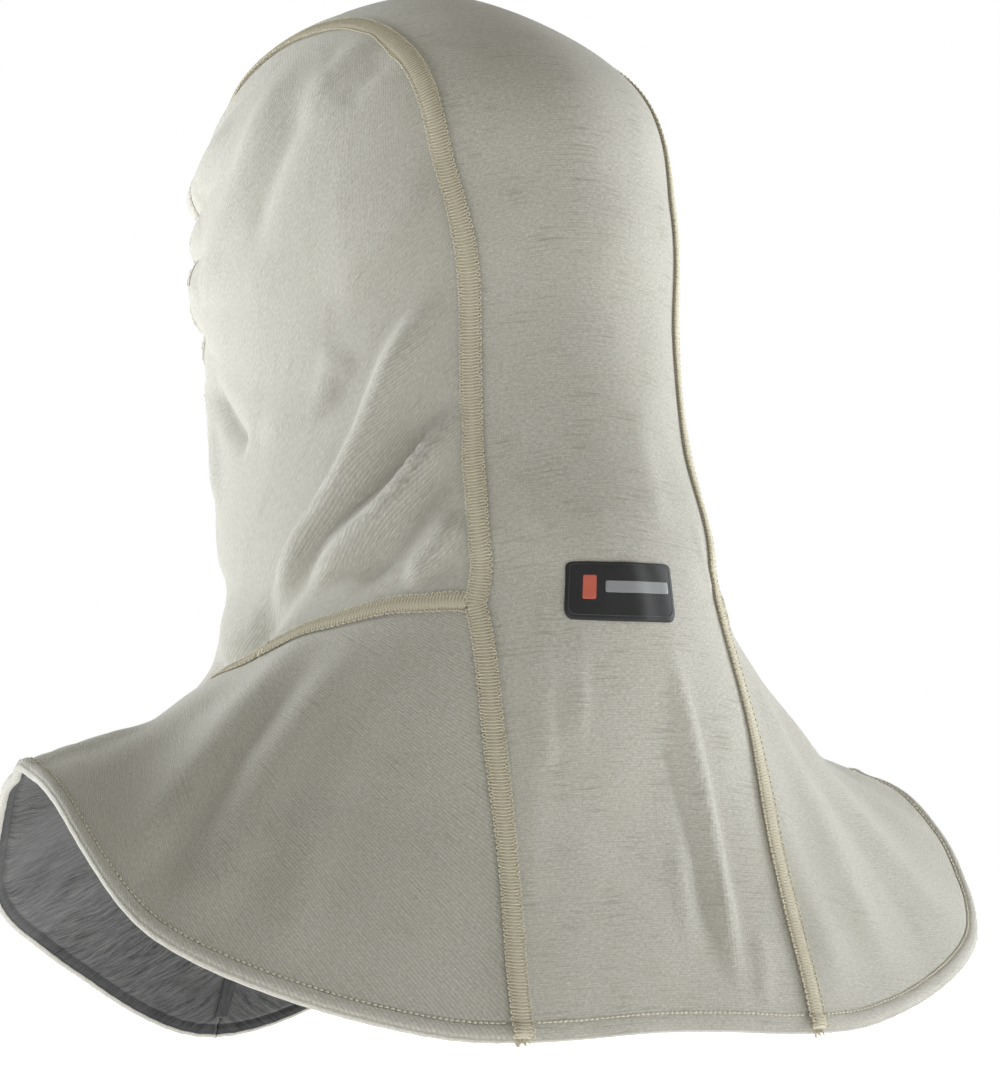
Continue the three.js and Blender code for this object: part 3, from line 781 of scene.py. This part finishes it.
def membrane_material():
    """White non-woven: pressed fibres with a faint grid of bonding points."""
    n = Nodes("membrane_nonwoven")
    place = n.place()
    fibres = n.streaks(place, 24, 0.2, 1400.0, 4.0, 0.7)
    cells = n.add("TexVoronoi", {"Vector": place, "Scale": 900.0}).outputs["Distance"]
    colour = n.ramp(fibres, 0.3, 0.7, srgb(222, 223, 225), srgb(244, 244, 246))
    height = n.plus(fibres, n.times(cells, 0.4))
    rough = n.plus(0.55, n.times(fibres, 0.15))
    return n.finish(colour, rough, n.bump(height, 0.4, 0.0002), Specular_IOR_Level=0.35)


def thread_material(name, light, dark, ply=1700.0):
    """Spun thread: slanted plies and soft fibres."""
    n = Nodes(name)
    place = n.place()
    plies = n.streaks(place, 38, 0.25, ply, 3.0, 0.65)
    patches = n.noise(place, 160.0)
    colour = n.ramp(plies, 0.32, 0.68, dark, light)
    colour = n.mix(n.times(n.ramp(patches, 0.4, 0.7), 0.2), colour, dark)
    rough = n.plus(0.66, n.times(plies, 0.2))
    return n.finish(colour, rough, n.bump(plies, 0.5, 0.0002), Sheen_Weight=0.15,
                    Specular_IOR_Level=0.3)


def band_material(name):
    """Stitched seam: looped thread covering the cloth, with painted shade in the gaps between the
    loops.
    """
    n = Nodes(name)
    flat = n.flat()
    loops = n.wave(flat, 0.0013, "Y", 0.6, 90.0)
    fibres = n.noise(flat, 1900.0, 3.0, 0.7)
    tone = n.blend(loops, 0.6, fibres, 0.4)
    # painted shade: the colour runs darker in the gaps between the loops, besides the random
    # fibre tone
    colour = n.ramp(tone, 0.2, 0.8, srgb(172, 165, 144), srgb(214, 208, 188))
    rough = n.plus(0.75, n.times(fibres, 0.15))
    return n.finish(colour, rough, n.bump(tone, 0.5, 0.0003), Sheen_Weight=0.15,
                    Specular_IOR_Level=0.25)


def film_material(name, tone, dust):
    """Printed film: near-smooth with fine scuffs and lint."""
    n = Nodes(name)
    place = n.place()
    scuff = n.noise(place, 340.0, 4.0, 0.65)
    lint = n.ramp(n.streaks(place, 30, 0.2, 900.0, 2.0, 0.5), 0.68, 0.8)
    colour = n.mix(n.times(lint, dust), tone, srgb(150, 150, 150))
    colour = n.mix(n.times(scuff, 0.15), colour, srgb(90, 90, 92))
    rough = n.plus(0.42, n.times(scuff, 0.3))
    return n.finish(colour, rough, n.bump(scuff, 0.25, 0.0003), Specular_IOR_Level=0.4)


def rubber_material():
    n = Nodes("elastic_covered")
    place = n.place()
    ribs = n.streaks(place, 15, 0.4, 1100.0, 3.0, 0.6)
    colour = n.ramp(ribs, 0.3, 0.7, srgb(214, 211, 203), srgb(240, 238, 232))
    rough = n.plus(0.6, n.times(ribs, 0.2))
    return n.finish(colour, rough, n.bump(ribs, 0.4, 0.0002), Specular_IOR_Level=0.35)


# ---- cloth panels
def hem_bulge(from_hem):
    """The rolled hem: a round band with a groove at its upper edge."""
    band = np.clip(1 - ((from_hem - HEM_WIDTH / 2) / (HEM_WIDTH / 2)) ** 2, 0, None) ** 0.6
    groove = np.exp(-((from_hem - HEM_WIDTH - 0.4) / 0.7) ** 2)
    return 1.3 * band * (from_hem < HEM_WIDTH) - 0.55 * groove


def hem_fullness(plan):
    """The roll is flat on the back strip, full on the shoulders and thin at the front."""
    angle = np.abs(np.degrees(np.arctan2(plan[..., 0], plan[..., 1])))
    return np.interp(angle, [18, 26, 96, 116], [0.35, 1.0, 1.0, 0.1])


# The turned hem past the hem line: rows back from the end, distance beyond, inner and
# outer offset from the lining's inner face.
HEM_TURN = [
    (0, 0.5, 2.0, 3.2), (0, 0.9, 1.7, 2.5), (0, 1.0, 1.0, 1.2), (0, 0.8, 0.4, 0.1),
    (0, 0.4, 0.1, -0.3), (1, 0.0, 0.0, -0.45), (2, 0.0, 0.0, -0.35),
]
LINING_GROOVE = 5.4


def outer_sheet(panel):
    p, n = panel.points, panel.normals
    bulge = 0.0
    if panel.hemmed:
        bulge = (hem_fullness(panel.plan) * hem_bulge(panel.from_hem))[..., None]
    inner = p + n * (OUTER[0] + 0.4 * np.maximum(bulge, 0))
    outer = p + n * (OUTER[1] + bulge)
    uv = panel.uv
    if panel.hemmed:
        below = unit(p[-1] - p[-2])
        extra_in, extra_out, extra_uv = [], [], []
        run = 0.0
        for back, beyond, low, high in HEM_TURN:
            base = p[-1 - back] + below * beyond
            extra_in.append(base - below * beyond * 0.6 + n[-1 - back] * low)
            extra_out.append(base + n[-1 - back] * high)
            run += 0.1
            extra_uv.append(uv[-1] + np.array([0.0, run]))
        inner = np.concatenate([inner, extra_in])
        outer = np.concatenate([outer, extra_out])
        uv = np.concatenate([uv, extra_uv])
    return inner, outer, uv


def between(panel, low, high, trim=0):
    """Two faces of an inner layer. By the hem it is drawn in where the topstitch holds it."""
    rows = slice(0, panel.points.shape[0] - trim)
    p, n = panel.points[rows], panel.normals[rows]
    drawn = 0.0
    if panel.hemmed:
        drawn = 0.9 * np.exp(-((panel.from_hem[rows] - LINING_GROOVE) / 1.1) ** 2)[..., None]
        drawn = np.minimum(drawn, 1.9 - high)
    return p + n * (low + drawn), p + n * (high + drawn), panel.uv[rows]


def flat_size(panel):
    """The pattern piece's width, length and area in metres, measured on the body form."""
    across = running(panel.base, 1).max() * MM
    down = running(panel.base).max() * MM
    area = area_of(panel.base)
    return (round(across, 3), round(down, 3)), min(round(area, 4), round(across * down, 4))


# Turn of the rows in degrees, strength of the painted shade between the rows, strength of the
# slub yarns.
KNIT = {
    "strip": (0, 0.2, 0.55),
    "left_side": (32, 0.34, 0.35),
    "left_bib": (28, 0.34, 0.35),
    "right_side": (-32, 0.34, 0.35),
    "right_bib": (-28, 0.34, 0.35),
}


def make_cloth(panels):
    melange = melange_material("lining_melange")
    membrane = membrane_material()
    for word, panel in panels.items():
        flat, area = flat_size(panel)
        layers = (
            ("lining", LINING, melange, "lining_knit"),
            ("barrier", BARRIER, membrane, "barrier_sheet"),
            ("outer", OUTER, knit_material("knit_" + word, *KNIT[word]), "outer_knit"),
        )
        for layer, (low, high), material, slot in layers:
            if layer == "outer":
                inner, outer, uv = outer_sheet(panel)
            else:
                inner, outer, uv = between(panel, low, high, 2 if panel.hemmed else 0)
            points, faces, flat_uv = shell(inner, outer, uv)
            faces = facing_out(points, faces, panel.normals[0, 0])
            piece = collected(f"cloth_{word}_{layer}", points, faces, flat_uv)
            finished(piece, material, [f"{word}_{layer}"])


# ---- seams
def plan_steps(line):
    """Plan steps that move one millimetre across and along a curve on the cloth."""
    du, dv = (change / (2 * PLAN_STEP) for change in differences(surface, line))
    normal = unit(np.cross(du, dv))
    tangent = unit(np.gradient(surface(line), axis=0))
    inverse = np.linalg.pinv(np.stack([du, dv], -1))
    across = np.einsum("nij,nj->ni", inverse, np.cross(normal, tangent))
    along = np.einsum("nij,nj->ni", inverse, tangent)
    return across, along


def on_cloth(plan, offsets):
    return cloth(plan) + cloth_normal(plan) * np.asarray(offsets)[..., None]


def sweep(sections):
    """Closed tube faces from a list of rings of points, with flat ends."""
    count, around = sections.shape[:2]
    faces = list(grid_faces(count, around, wrap=True))
    faces.append(tuple(range(around)))
    faces.append(tuple((count - 1) * around + k for k in range(around - 1, -1, -1)))
    return sections.reshape(-1, 3), faces


def tube(path, radius, sides=5):
    """Tube round a polyline of points; radius may be one number or one for each point."""
    path = np.asarray(path)
    tangent = np.gradient(path, axis=0)
    tangent /= np.linalg.norm(tangent, axis=-1, keepdims=True) + 1e-12
    normal = np.zeros_like(path)
    guide = np.cross(tangent[0], (0.31, 0.17, 0.93))
    for k in range(len(path)):
        guide = guide - tangent[k] * guide.dot(tangent[k])
        guide /= np.linalg.norm(guide) + 1e-12
        normal[k] = guide
    binormal = np.cross(tangent, normal)
    turn = np.linspace(0, 2 * np.pi, sides, endpoint=False)
    reach = np.broadcast_to(radius, len(path))[:, None, None]
    rings = path[:, None] + reach * (
        np.cos(turn)[None, :, None] * normal[:, None]
        + np.sin(turn)[None, :, None] * binormal[:, None])
    return sweep(rings)


def joined(parts):
    points, faces, total = [], [], 0
    for p, f in parts:
        points.append(p)
        faces += [tuple(k + total for k in face) for face in f]
        total += len(p)
    return np.concatenate(points), faces


def threads(name, parts, material, nodes=()):
    finished(collected(name, *joined(parts)), material, nodes)


BAND_HALF = 3.15
THREAD_HALF = BAND_HALF + 0.1
STITCH_PITCH = 2.3
CROSSING_PITCH = 1.3
# Bottom and top of the seam bands, outside and inside.
BAND_LAYER, INNER_BAND_LAYER = (3.25, 3.7), (-0.9, -0.1)
BAND_COLUMNS = np.array([-1, -0.93, -0.75, -0.4, 0, 0.4, 0.75, 0.93, 1]) * BAND_HALF


def band_mesh(line, layer, raised, rise=0.7):
    """A rounded stitched band along a curve. Raised adds to its top, one value a station."""
    bottom, top = layer
    across, _ = plan_steps(line)
    plan = line[:, None] + across[:, None] * BAND_COLUMNS[None, :, None]
    crown = 1 - np.abs(BAND_COLUMNS / BAND_HALF) ** 4
    high = top + rise * crown[None] + raised[:, None]
    normals = cloth_normal(plan)
    base = cloth(plan)
    upper = base + normals * high[..., None]
    lower = base + normals * bottom
    along = running(base[:, len(BAND_COLUMNS) // 2])
    uv = np.stack(np.broadcast_arrays(BAND_COLUMNS[None], along[:, None]), -1) / 10
    if bottom < 0:
        upper, lower = lower, upper
    points, faces, flat = shell(lower, upper, uv)
    faces = facing_out(points, faces, cloth_normal(line[:1])[0])
    return points, faces, flat


def serpentine(line, bow, slant):
    """Plan points and offsets of thread crossing a band and looping at both edges."""
    across, _ = plan_steps(line)
    at = lengths(line)
    share, s = [], []
    for k in range(int(at[-1] / CROSSING_PITCH)):
        crossing = np.linspace(-1, 1, 9) * (-1) ** k
        share.append(crossing)
        s.append((k + 0.5) * CROSSING_PITCH + bow * (1 - crossing**2) + slant * crossing)
    share, s = np.concatenate(share), np.clip(np.concatenate(s), 0, at[-1])
    step = between_stations(s, at, across) * (share * THREAD_HALF)[:, None]
    return between_stations(s, at, line) + step, 1 - np.abs(share) ** 4, s


def edge_loops(line, edge):
    """Plan points of the scalloped looper thread along one edge of a band."""
    across, along = plan_steps(line)
    at = lengths(line)
    s = np.arange(0, at[-1], STITCH_PITCH / 10)
    turn = 2 * np.pi * s / STITCH_PITCH
    d = edge * (THREAD_HALF + 0.95 * np.cos(turn))
    shift = 0.42 * np.sin(2 * turn)
    plan = between_stations(s, at, line) + between_stations(s, at, across) * d[:, None]
    return plan + between_stations(s, at, along) * shift[:, None], s


def cut(line, start, end):
    """A curve shortened by start and end millimetres, one station a millimetre or so."""
    total = lengths(line)[-1]
    count = max(4, int((total - start - end) / 1.15))
    return resample(line, np.linspace(start, total - end, count))


def seam_list():
    """Each seam's line, whether it ends at the hem, extra height, thread bow and slant."""
    seams = {}
    for side, word in SIDES:
        shoulder = cut(SEAMS[side]["shoulder"], 3.0, 2.2)
        seams[f"{word}_long_seam"] = (cut(long_seam(side), 8.0, 0.3), True, 0.55, 0.9, 0.0)
        seams[f"{word}_shoulder_seam"] = (shoulder, False, 0.0, 0.25, 0.9)
    seams["chin_seam"] = (cut(CHIN, 8.0, 0.0), False, 0.0, 0.8, 0.0)
    seams["front_bib_seam"] = (cut(FRONT, 0.2, 0.3), True, 0.0, 0.8, 0.0)
    return seams


def make_seams():
    band = band_material("seam_band")
    # painted shade: the inside seam bands take the dark lining melange in place of their lighter
    # thread colour
    inner_band_painted_shade = melange_material("seam_band_inner")
    thread = thread_material("seam_loops", THREAD_LIGHT, THREAD_DARK)
    for name, (line, to_hem, extra, bow, slant) in seam_list().items():
        at = lengths(line)
        left_over = at[-1] - at
        raised = hem_bulge(left_over) * (left_over < 10) if to_hem else np.zeros(len(line))
        points, faces, flat = band_mesh(line, BAND_LAYER, raised + extra)
        piece = collected("band_" + name, points, faces, flat)
        finished(piece, band, [name])
        plan, arch, s = serpentine(line, bow, slant)
        bulge = np.interp(s, at, raised)
        path = on_cloth(plan, 3.66 + extra + 0.66 * arch + bulge)
        parts = [tube(path, 0.30)]
        for edge in (-1, 1):
            plan, s = edge_loops(line, edge)
            bulge = np.interp(s, at, raised)
            lift = 0.3 * np.cos(2 * np.pi * s / STITCH_PITCH)
            parts.append(tube(on_cloth(plan, 3.75 + extra + bulge + lift), 0.34))
        threads("loops_" + name, parts, thread)
        clear = 9.5 if to_hem else 0.5
        inner_line = cut(line, 0.0, clear)
        level = np.zeros(len(inner_line))
        points, faces, flat = band_mesh(inner_line, INNER_BAND_LAYER, level, 0.0)
        inner = collected("band_" + name + "_inner", points, faces, flat)
        finished(inner, inner_band_painted_shade, [name + "_inner"])


def make_tufts():
    """Cut thread ends where the long seams run off the hem."""
    thread = thread_material("tuft_thread", THREAD_LIGHT, THREAD_DARK)
    for side, word in SIDES:
        end = SEAMS[side]["lower"][-2:]
        base = on_cloth(end, [3.4, 3.4])
        down = unit(base[1] - base[0])
        out = cloth_normal(end[-1:])[0]
        across = np.cross(out, down)
        parts = []
        for _ in range(15):
            lean = RANDOM.uniform(-1, 1)
            away = RANDOM.uniform(-0.6, 0.9)
            reach = RANDOM.uniform(2.2, 4.6)
            start = base[1] + across * lean * 2.6 + out * (away - 0.4) - down * 1.5
            bend = across * lean * 0.8 + out * away * 0.5
            t = np.linspace(0, 1, 7)[:, None]
            path = start + down * reach * t + bend * t * t
            parts.append(tube(path, 0.26, 5))
        threads(f"tuft_{word}", parts, thread)


def stitches(line, offset, length, radius):
    """Short rounded stitches end to end along a curve."""
    total = lengths(line)[-1]
    starts = np.arange(STITCH_PITCH / 2, total - STITCH_PITCH / 2, STITCH_PITCH)
    t = np.linspace(-0.5, 0.5, 6)
    plan = resample(line, (starts[:, None] + t[None] * length).reshape(-1))
    sag = offset - 0.55 * (2 * np.abs(np.tile(t, len(starts)))) ** 3
    path = on_cloth(plan, sag).reshape(len(starts), len(t), 3)
    radii = radius * np.sqrt(np.clip(1.05 - (2 * np.abs(t)) ** 4, 0.15, 1))
    return [tube(run, radii, 6) for run in path]


def make_hem_stitches(panels):
    thread = thread_material("hem_thread", srgb(240, 236, 220), srgb(216, 211, 192))
    for word, node in (("strip", "back"), ("left_bib", "left"), ("right_bib", "right")):
        panel = panels[word]
        grid = panel.plan[:, 3:-3]
        line = np.array([resample(grid[:, k], [lengths(grid[:, k])[-1] - HEM_WIDTH - 0.3])[0]
                         for k in range(grid.shape[1])])
        parts = stitches(cut(line, 2.0, 2.0), OUTER[1] + 0.25, 1.7, 0.42)
        threads("topstitch_" + node, parts, thread, ["hem_stitch_" + node])


# ---- face edge
# Outline of the binding: distance outside the face edge, offset from the body form.
BINDING_PROFILE = [
    (7.6, 3.25), (7.5, 3.5), (6.6, 3.75), (4.6, 3.95), (2.0, 4.3), (-0.6, 4.4), (-2.6, 4.0),
    (-4.0, 3.1), (-4.3, 1.6), (-3.8, 0.1), (-2.4, -1.2), (0.4, -1.6), (4.0, -1.5), (7.4, -1.2),
    (7.5, -0.6), (4.0, -0.7), (0.4, -0.6), (-1.9, -0.3), (-3.1, 0.8), (-3.5, 1.7), (-3.1, 2.7),
    (-1.9, 3.3), (0.4, 3.5), (4.0, 3.3),
]
BINDING_WIDTH = 0.028


def face_loop(count):
    ring = face_edge(np.linspace(0, 180, 400))
    other = face_edge(np.linspace(180, 0, 400), -1)[1:]
    line = np.concatenate([ring, other])
    total = lengths(line)[-1]
    return resample(line, np.linspace(0, total, count, endpoint=False)), total


def around_face(count, profile):
    """Rings of points round the face opening, outward distance and offset from a profile."""
    line, total = face_loop(count)
    across, _ = plan_steps(np.concatenate([line[-2:], line, line[:2]]))
    across = across[2:-2]
    outward = ((line + (0, FACE_MIDDLE)) * across).sum(-1) > 0
    across = np.where(outward[:, None], across, -across)
    d, n = np.array(profile, float).T
    plan = line[:, None] + across[:, None] * d[None, :, None]
    turn = np.linspace(0, 2 * np.pi, count, endpoint=False)[:, None]
    gathers = 0.16 * np.sin(turn * 131) + 0.12 * np.sin(turn * 83 + 1) * np.cos(turn * 7)
    outside = np.where((n > 2.9) & (d < 7), 1.0, 0.0)
    offsets = n[None] + gathers * outside[None]
    return on_cloth(plan, offsets), total


def ring_faces(rings):
    """Quads of a closed tube whose last ring joins its first."""
    count, around = rings.shape[:2]
    first = np.arange(around)
    last = first + (count - 1) * around
    closing = np.stack([last, first, np.roll(first, -1), np.roll(last, -1)], -1)
    return np.concatenate([grid_faces(count, around, wrap=True), closing])


def make_face_edge():
    rings, total = around_face(840, BINDING_PROFILE)
    count, around = rings.shape[:2]
    along = np.arange(count)[:, None] / count * total
    width = np.linspace(0, BINDING_WIDTH * 2000, around)[None]
    uv = np.stack(np.broadcast_arrays(width, along), -1).reshape(-1, 2) * MM
    binding = collected("binding_face", rings.reshape(-1, 3), ring_faces(rings), uv)
    finished(binding, knit_material("knit_binding", 90, slubs=0.2),
             ["face_binding"])
    turn = np.linspace(0, 2 * np.pi, 8, endpoint=False)
    core = [(-1.6 + 0.95 * math.cos(a), 1.65 + 0.95 * math.sin(a)) for a in turn]
    rings, _ = around_face(300, core)
    elastic = collected("elastic_core", rings.reshape(-1, 3), ring_faces(rings))
    finished(elastic, rubber_material(), ["face_elastic"])
    path, _ = around_face(1500, [(5.6, 3.85)])
    radii = [0.15, 0.28, 0.32, 0.28, 0.15]
    parts = [tube(path[k:k + 5, 0], radii, 6) for k in range(0, len(path) - 5, 6)]
    thread = thread_material("binding_thread", THREAD_LIGHT, THREAD_DARK)
    threads("topstitch_face", parts, thread, ["face_binding_stitch"])


# ---- labels
# Half the stretch of cloth that the label's scale is measured on: ring position, degrees.
LABEL_SPAN = (0.03, 15)


def label_scale():
    """Millimetres per unit of ring position and per degree, at the height of the label's top."""
    rise, turn = LABEL_SPAN
    ends = polar(LABEL_RING + np.array([rise, -rise, 0, 0]),
                 LABEL_ANGLE + np.array([0, 0, turn, -turn]))
    lower, upper, left, right = surface(ends) + cross_normal(surface, ends) * LABEL_TOP
    return np.linalg.norm(lower - upper) / (2 * rise), np.linalg.norm(left - right) / (2 * turn)


def on_label(place):
    """Plan points from millimetres across and up the label."""
    down, across = label_scale()
    ring = LABEL_RING - place[..., 1] / down
    return polar(ring, LABEL_ANGLE - place[..., 0] / across)


def rounded_outline(width, height, corner, steps=10):
    points = []
    for k, (sx, sy) in enumerate(((1, 1), (-1, 1), (-1, -1), (1, -1))):
        for a in np.linspace(0, 90, steps):
            t = math.radians(a + 90 * k)
            points.append((sx * (width / 2 - corner) + corner * math.cos(t),
                           sy * (height / 2 - corner) + corner * math.sin(t)))
    return np.array(points)


def plaque(x, y, width, height, corner, low, high, rim=None):
    """A thin rounded plate laid on the back; rim leaves only a frame that wide in all."""
    outline = dense(rounded_outline(width, height, corner))
    if rim is None:
        edge = outline[None] * np.linspace(0.04, 1, 16)[:, None, None]
    else:
        inset = outline * ((width - rim) / width, (height - rim) / height)
        edge = inset[None] + (outline - inset)[None] * np.linspace(0, 1, 3)[:, None, None]
    place = edge + (x, y)
    plan = on_label(place)
    buckle = 0.225 * np.sin(place[..., 0] / 5.2 + 0.4 * np.sin(place[..., 1] / 7) + 1.0)
    buckle += 0.2 * np.sin(place[..., 0] / 2.4 + place[..., 1] / 9) + 0.3
    buckle = buckle[..., None]
    base, normals = cloth(plan), cloth_normal(plan)
    thickness = np.full((len(edge), 1, 1), high - low)
    if rim is None:
        thickness[-1] *= 0.6
    top = base + normals * (low + thickness + buckle)
    bottom = base + normals * (low + buckle)
    rows, columns = plan.shape[:2]
    size = rows * columns
    faces = list(grid_faces(rows, columns, size, wrap=True))
    faces += list(grid_faces(rows, columns, flip=True, wrap=True))
    for k in range(columns):
        m = (k + 1) % columns
        a, b = (rows - 1) * columns + k, (rows - 1) * columns + m
        faces.append((a, b, b + size, a + size))
        if rim is not None:
            faces.append((m, k, k + size, m + size))
    if rim is None:
        faces += [range(size, size + columns), range(columns - 1, -1, -1)]
    return whole(bottom, top), faces


def dense(outline, step=1.2):
    """An outline with no gap longer than step."""
    points = []
    for a, b in zip(outline, np.roll(outline, -1, axis=0)):
        count = max(1, int(np.linalg.norm(b - a) / step))
        for k in range(count):
            points.append(a + (b - a) * k / count)
    return np.array(points)


def outward_faces(obj):
    work = bmesh.new()
    work.from_mesh(obj.data)
    bmesh.ops.recalc_face_normals(work, faces=work.faces)
    work.to_mesh(obj.data)
    work.free()


def make_labels():
    film = film_material("label_film_black", srgb(34, 34, 36), 0.10)
    rim = film_material("label_rim_grey", srgb(72, 73, 75), 0.05)
    grey = film_material("label_print_grey", srgb(150, 152, 155), 0.05)
    coral = film_material("label_print_coral", srgb(206, 104, 84), 0.05)
    w, h = LABEL_SIZE
    ink_top = LABEL_TOP + 0.15
    # centre across and up, width, height, corner radius, bottom and top offset, rim
    plates = (
        ("label_plate", film, "label_film", ["back_label"],
         (0, 0, w, h, 3.4, 3.3, LABEL_TOP)),
        ("label_rim", rim, "label_film", [],
         (0, 0, w - 2.6, h - 2.6, 2.4, 3.8, 3.93, 0.45)),
        ("label_bar", grey, "label_ink_grey", ["label_print_bar"],
         (6, -1, 29, 4.6, 0.7, LABEL_TOP, ink_top)),
        ("label_accent", coral, "label_ink_coral", ["label_print_accent"],
         (-14.5, -1, 5, 9.4, 0.7, LABEL_TOP, ink_top)),
    )
    for name, material, slot, nodes, plate in plates:
        piece = collected(name, *plaque(*plate))
        finished(piece, material, nodes)


def node_corners(name):
    return (np.array(corner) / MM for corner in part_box(name))


def make_care_label():
    """A woven tape hanging inside the back, with its row of stitching."""
    low, high = node_corners("care_label")
    x = np.linspace(low[0], high[0], 25)[None]
    z = np.linspace(high[2], low[2], 35)[:, None]
    x, z = np.broadcast_arrays(x, z)
    drop = (high[2] - z) / (high[2] - low[2])
    wave = 0.35 * np.sin(x / 5.5) * drop + 0.25 * np.sin(z / 6 + 1) * drop
    back = high[1] + wave
    inner = np.stack([x, back - 0.55, z], -1)
    outer = np.stack([x, back, z], -1)
    uv = np.stack([x, z], -1) / 10
    points, faces, flat = shell(inner, outer, uv)
    tape = thread_material("care_tape_satin", srgb(246, 246, 243), srgb(222, 222, 218), 2600.0)
    piece = collected("care_tape_piece", points, faces, flat)
    finished(piece, tape, ["care_label"], "care_label")
    low, high = node_corners("care_label_stitch")
    middle = (low + high) / 2
    parts = []
    t = np.linspace(-0.9, 0.9, 6)
    for k in np.arange(low[0] + 1.2, high[0] - 1.0, STITCH_PITCH):
        path = np.stack([k + t, 0 * t + middle[1], 0 * t + middle[2]], -1)
        parts.append(tube(path, np.array([0.2, 0.42, 0.48, 0.48, 0.42, 0.2]), 6))
    bar = [(low[0], middle[1], middle[2]), (high[0], middle[1], middle[2])]
    parts.append(tube(np.linspace(bar[0], bar[1], 24), 0.28, 6))
    thread = thread_material("care_thread", THREAD_LIGHT, THREAD_DARK)
    threads("care_stitches", parts, thread, ["care_label_stitch"])


# ---- studio, metres
LOOK_AT = Vector((-0.029, 0.020, -0.225))
VIEW_DISTANCE = 1.8
VIEW_TURN = math.radians(55.3)
VIEW_RISE = math.radians(-3.9)
LENS = 143
TOWARD = Vector((math.cos(VIEW_TURN), math.sin(VIEW_TURN), 0))
RIGHT = Vector((-math.sin(VIEW_TURN), math.cos(VIEW_TURN), 0))
FLOOR_HEIGHT = -0.4435


def aim(obj, target):
    obj.rotation_euler = (target - obj.location).to_track_quat("-Z", "Y").to_euler()


def make_camera():
    data = bpy.data.cameras.new("camera")
    data.lens = LENS
    data.sensor_width = 36
    data.clip_end = 50
    camera = bpy.data.objects.new("camera", data)
    level = TOWARD * math.cos(VIEW_RISE)
    camera.location = LOOK_AT + (level + Vector((0, 0, math.sin(VIEW_RISE)))) * VIEW_DISTANCE
    aim(camera, LOOK_AT)
    bpy.context.scene.collection.objects.link(camera)
    bpy.context.scene.camera = camera


def soft_box(name, place, size, watts, tint):
    data = bpy.data.lights.new(name, "AREA")
    data.shape = "RECTANGLE"
    data.size, data.size_y = size
    data.energy = watts
    data.color = tint
    lamp = bpy.data.objects.new(name, data)
    lamp.location = place
    aim(lamp, Vector((0, 0, -0.25)))
    bpy.context.scene.collection.objects.link(lamp)


def make_studio():
    # name, place to the camera's right, towards the camera and up, size, watts, tint
    boxes = (
        ("box_left", (-1.15, -0.34, -0.05), (0.42, 1.2), 16.5, (0.93, 0.97, 1.0)),
        ("box_right", (1.1, -0.34, -0.25), (0.42, 1.2), 16.5, (0.95, 0.98, 1.0)),
        ("box_top", (0, 0.45, 1.1), (1.2, 1.2), 4, (1.0, 0.98, 0.92)),
        ("box_far", (0, -1.4, -0.25), (1.4, 1.2), 8, (1, 1, 1)),
    )
    for name, (right, toward, up), size, watts, tint in boxes:
        place = RIGHT * right + TOWARD * toward + Vector((0, 0, up))
        soft_box(name, place, size, watts, tint)
    bpy.ops.mesh.primitive_plane_add(size=30, location=(0, 0, FLOOR_HEIGHT))
    floor = bpy.context.object
    floor.name = "floor"
    n = Nodes("floor_pale")
    speckle = n.noise(n.place(), 40.0)
    floor.data.materials.append(
        n.finish(n.ramp(speckle, 0.3, 0.7, (0.90, 0.90, 0.90, 1), (0.94, 0.94, 0.94, 1)), 0.9,
                 Emission_Color=(1, 1, 1, 1), Emission_Strength=0.9))
    world = bpy.data.worlds.new("studio")
    bpy.context.scene.world = world
    world.use_nodes = True
    tree = world.node_tree
    tree.nodes["Background"].inputs[0].default_value = (1.0, 0.975, 0.82, 1)
    tree.nodes["Background"].inputs[1].default_value = 0.13
    seen = tree.nodes.new("ShaderNodeBackground")
    seen.inputs[0].default_value = (1, 1, 1, 1)
    seen.inputs[1].default_value = 1.0
    path = tree.nodes.new("ShaderNodeLightPath")
    mixer = tree.nodes.new("ShaderNodeMixShader")
    tree.links.new(path.outputs["Is Camera Ray"], mixer.inputs[0])
    tree.links.new(tree.nodes["Background"].outputs[0], mixer.inputs[1])
    tree.links.new(seen.outputs[0], mixer.inputs[2])
    tree.links.new(mixer.outputs[0], tree.nodes["World Output"].inputs[0])
    bpy.context.scene.view_settings.view_transform = "Standard"


# ---- make everything
make_camera()
PANELS = make_panels()
make_cloth(PANELS)
make_seams()
make_tufts()
make_hem_stitches(PANELS)
make_face_edge()
make_labels()
make_care_label()
for shown in list(bpy.context.scene.objects):
    if shown.type == "MESH" and body_of(shown) and shown.name not in frame["nodes"]:
        outward_faces(shown)
make_studio()
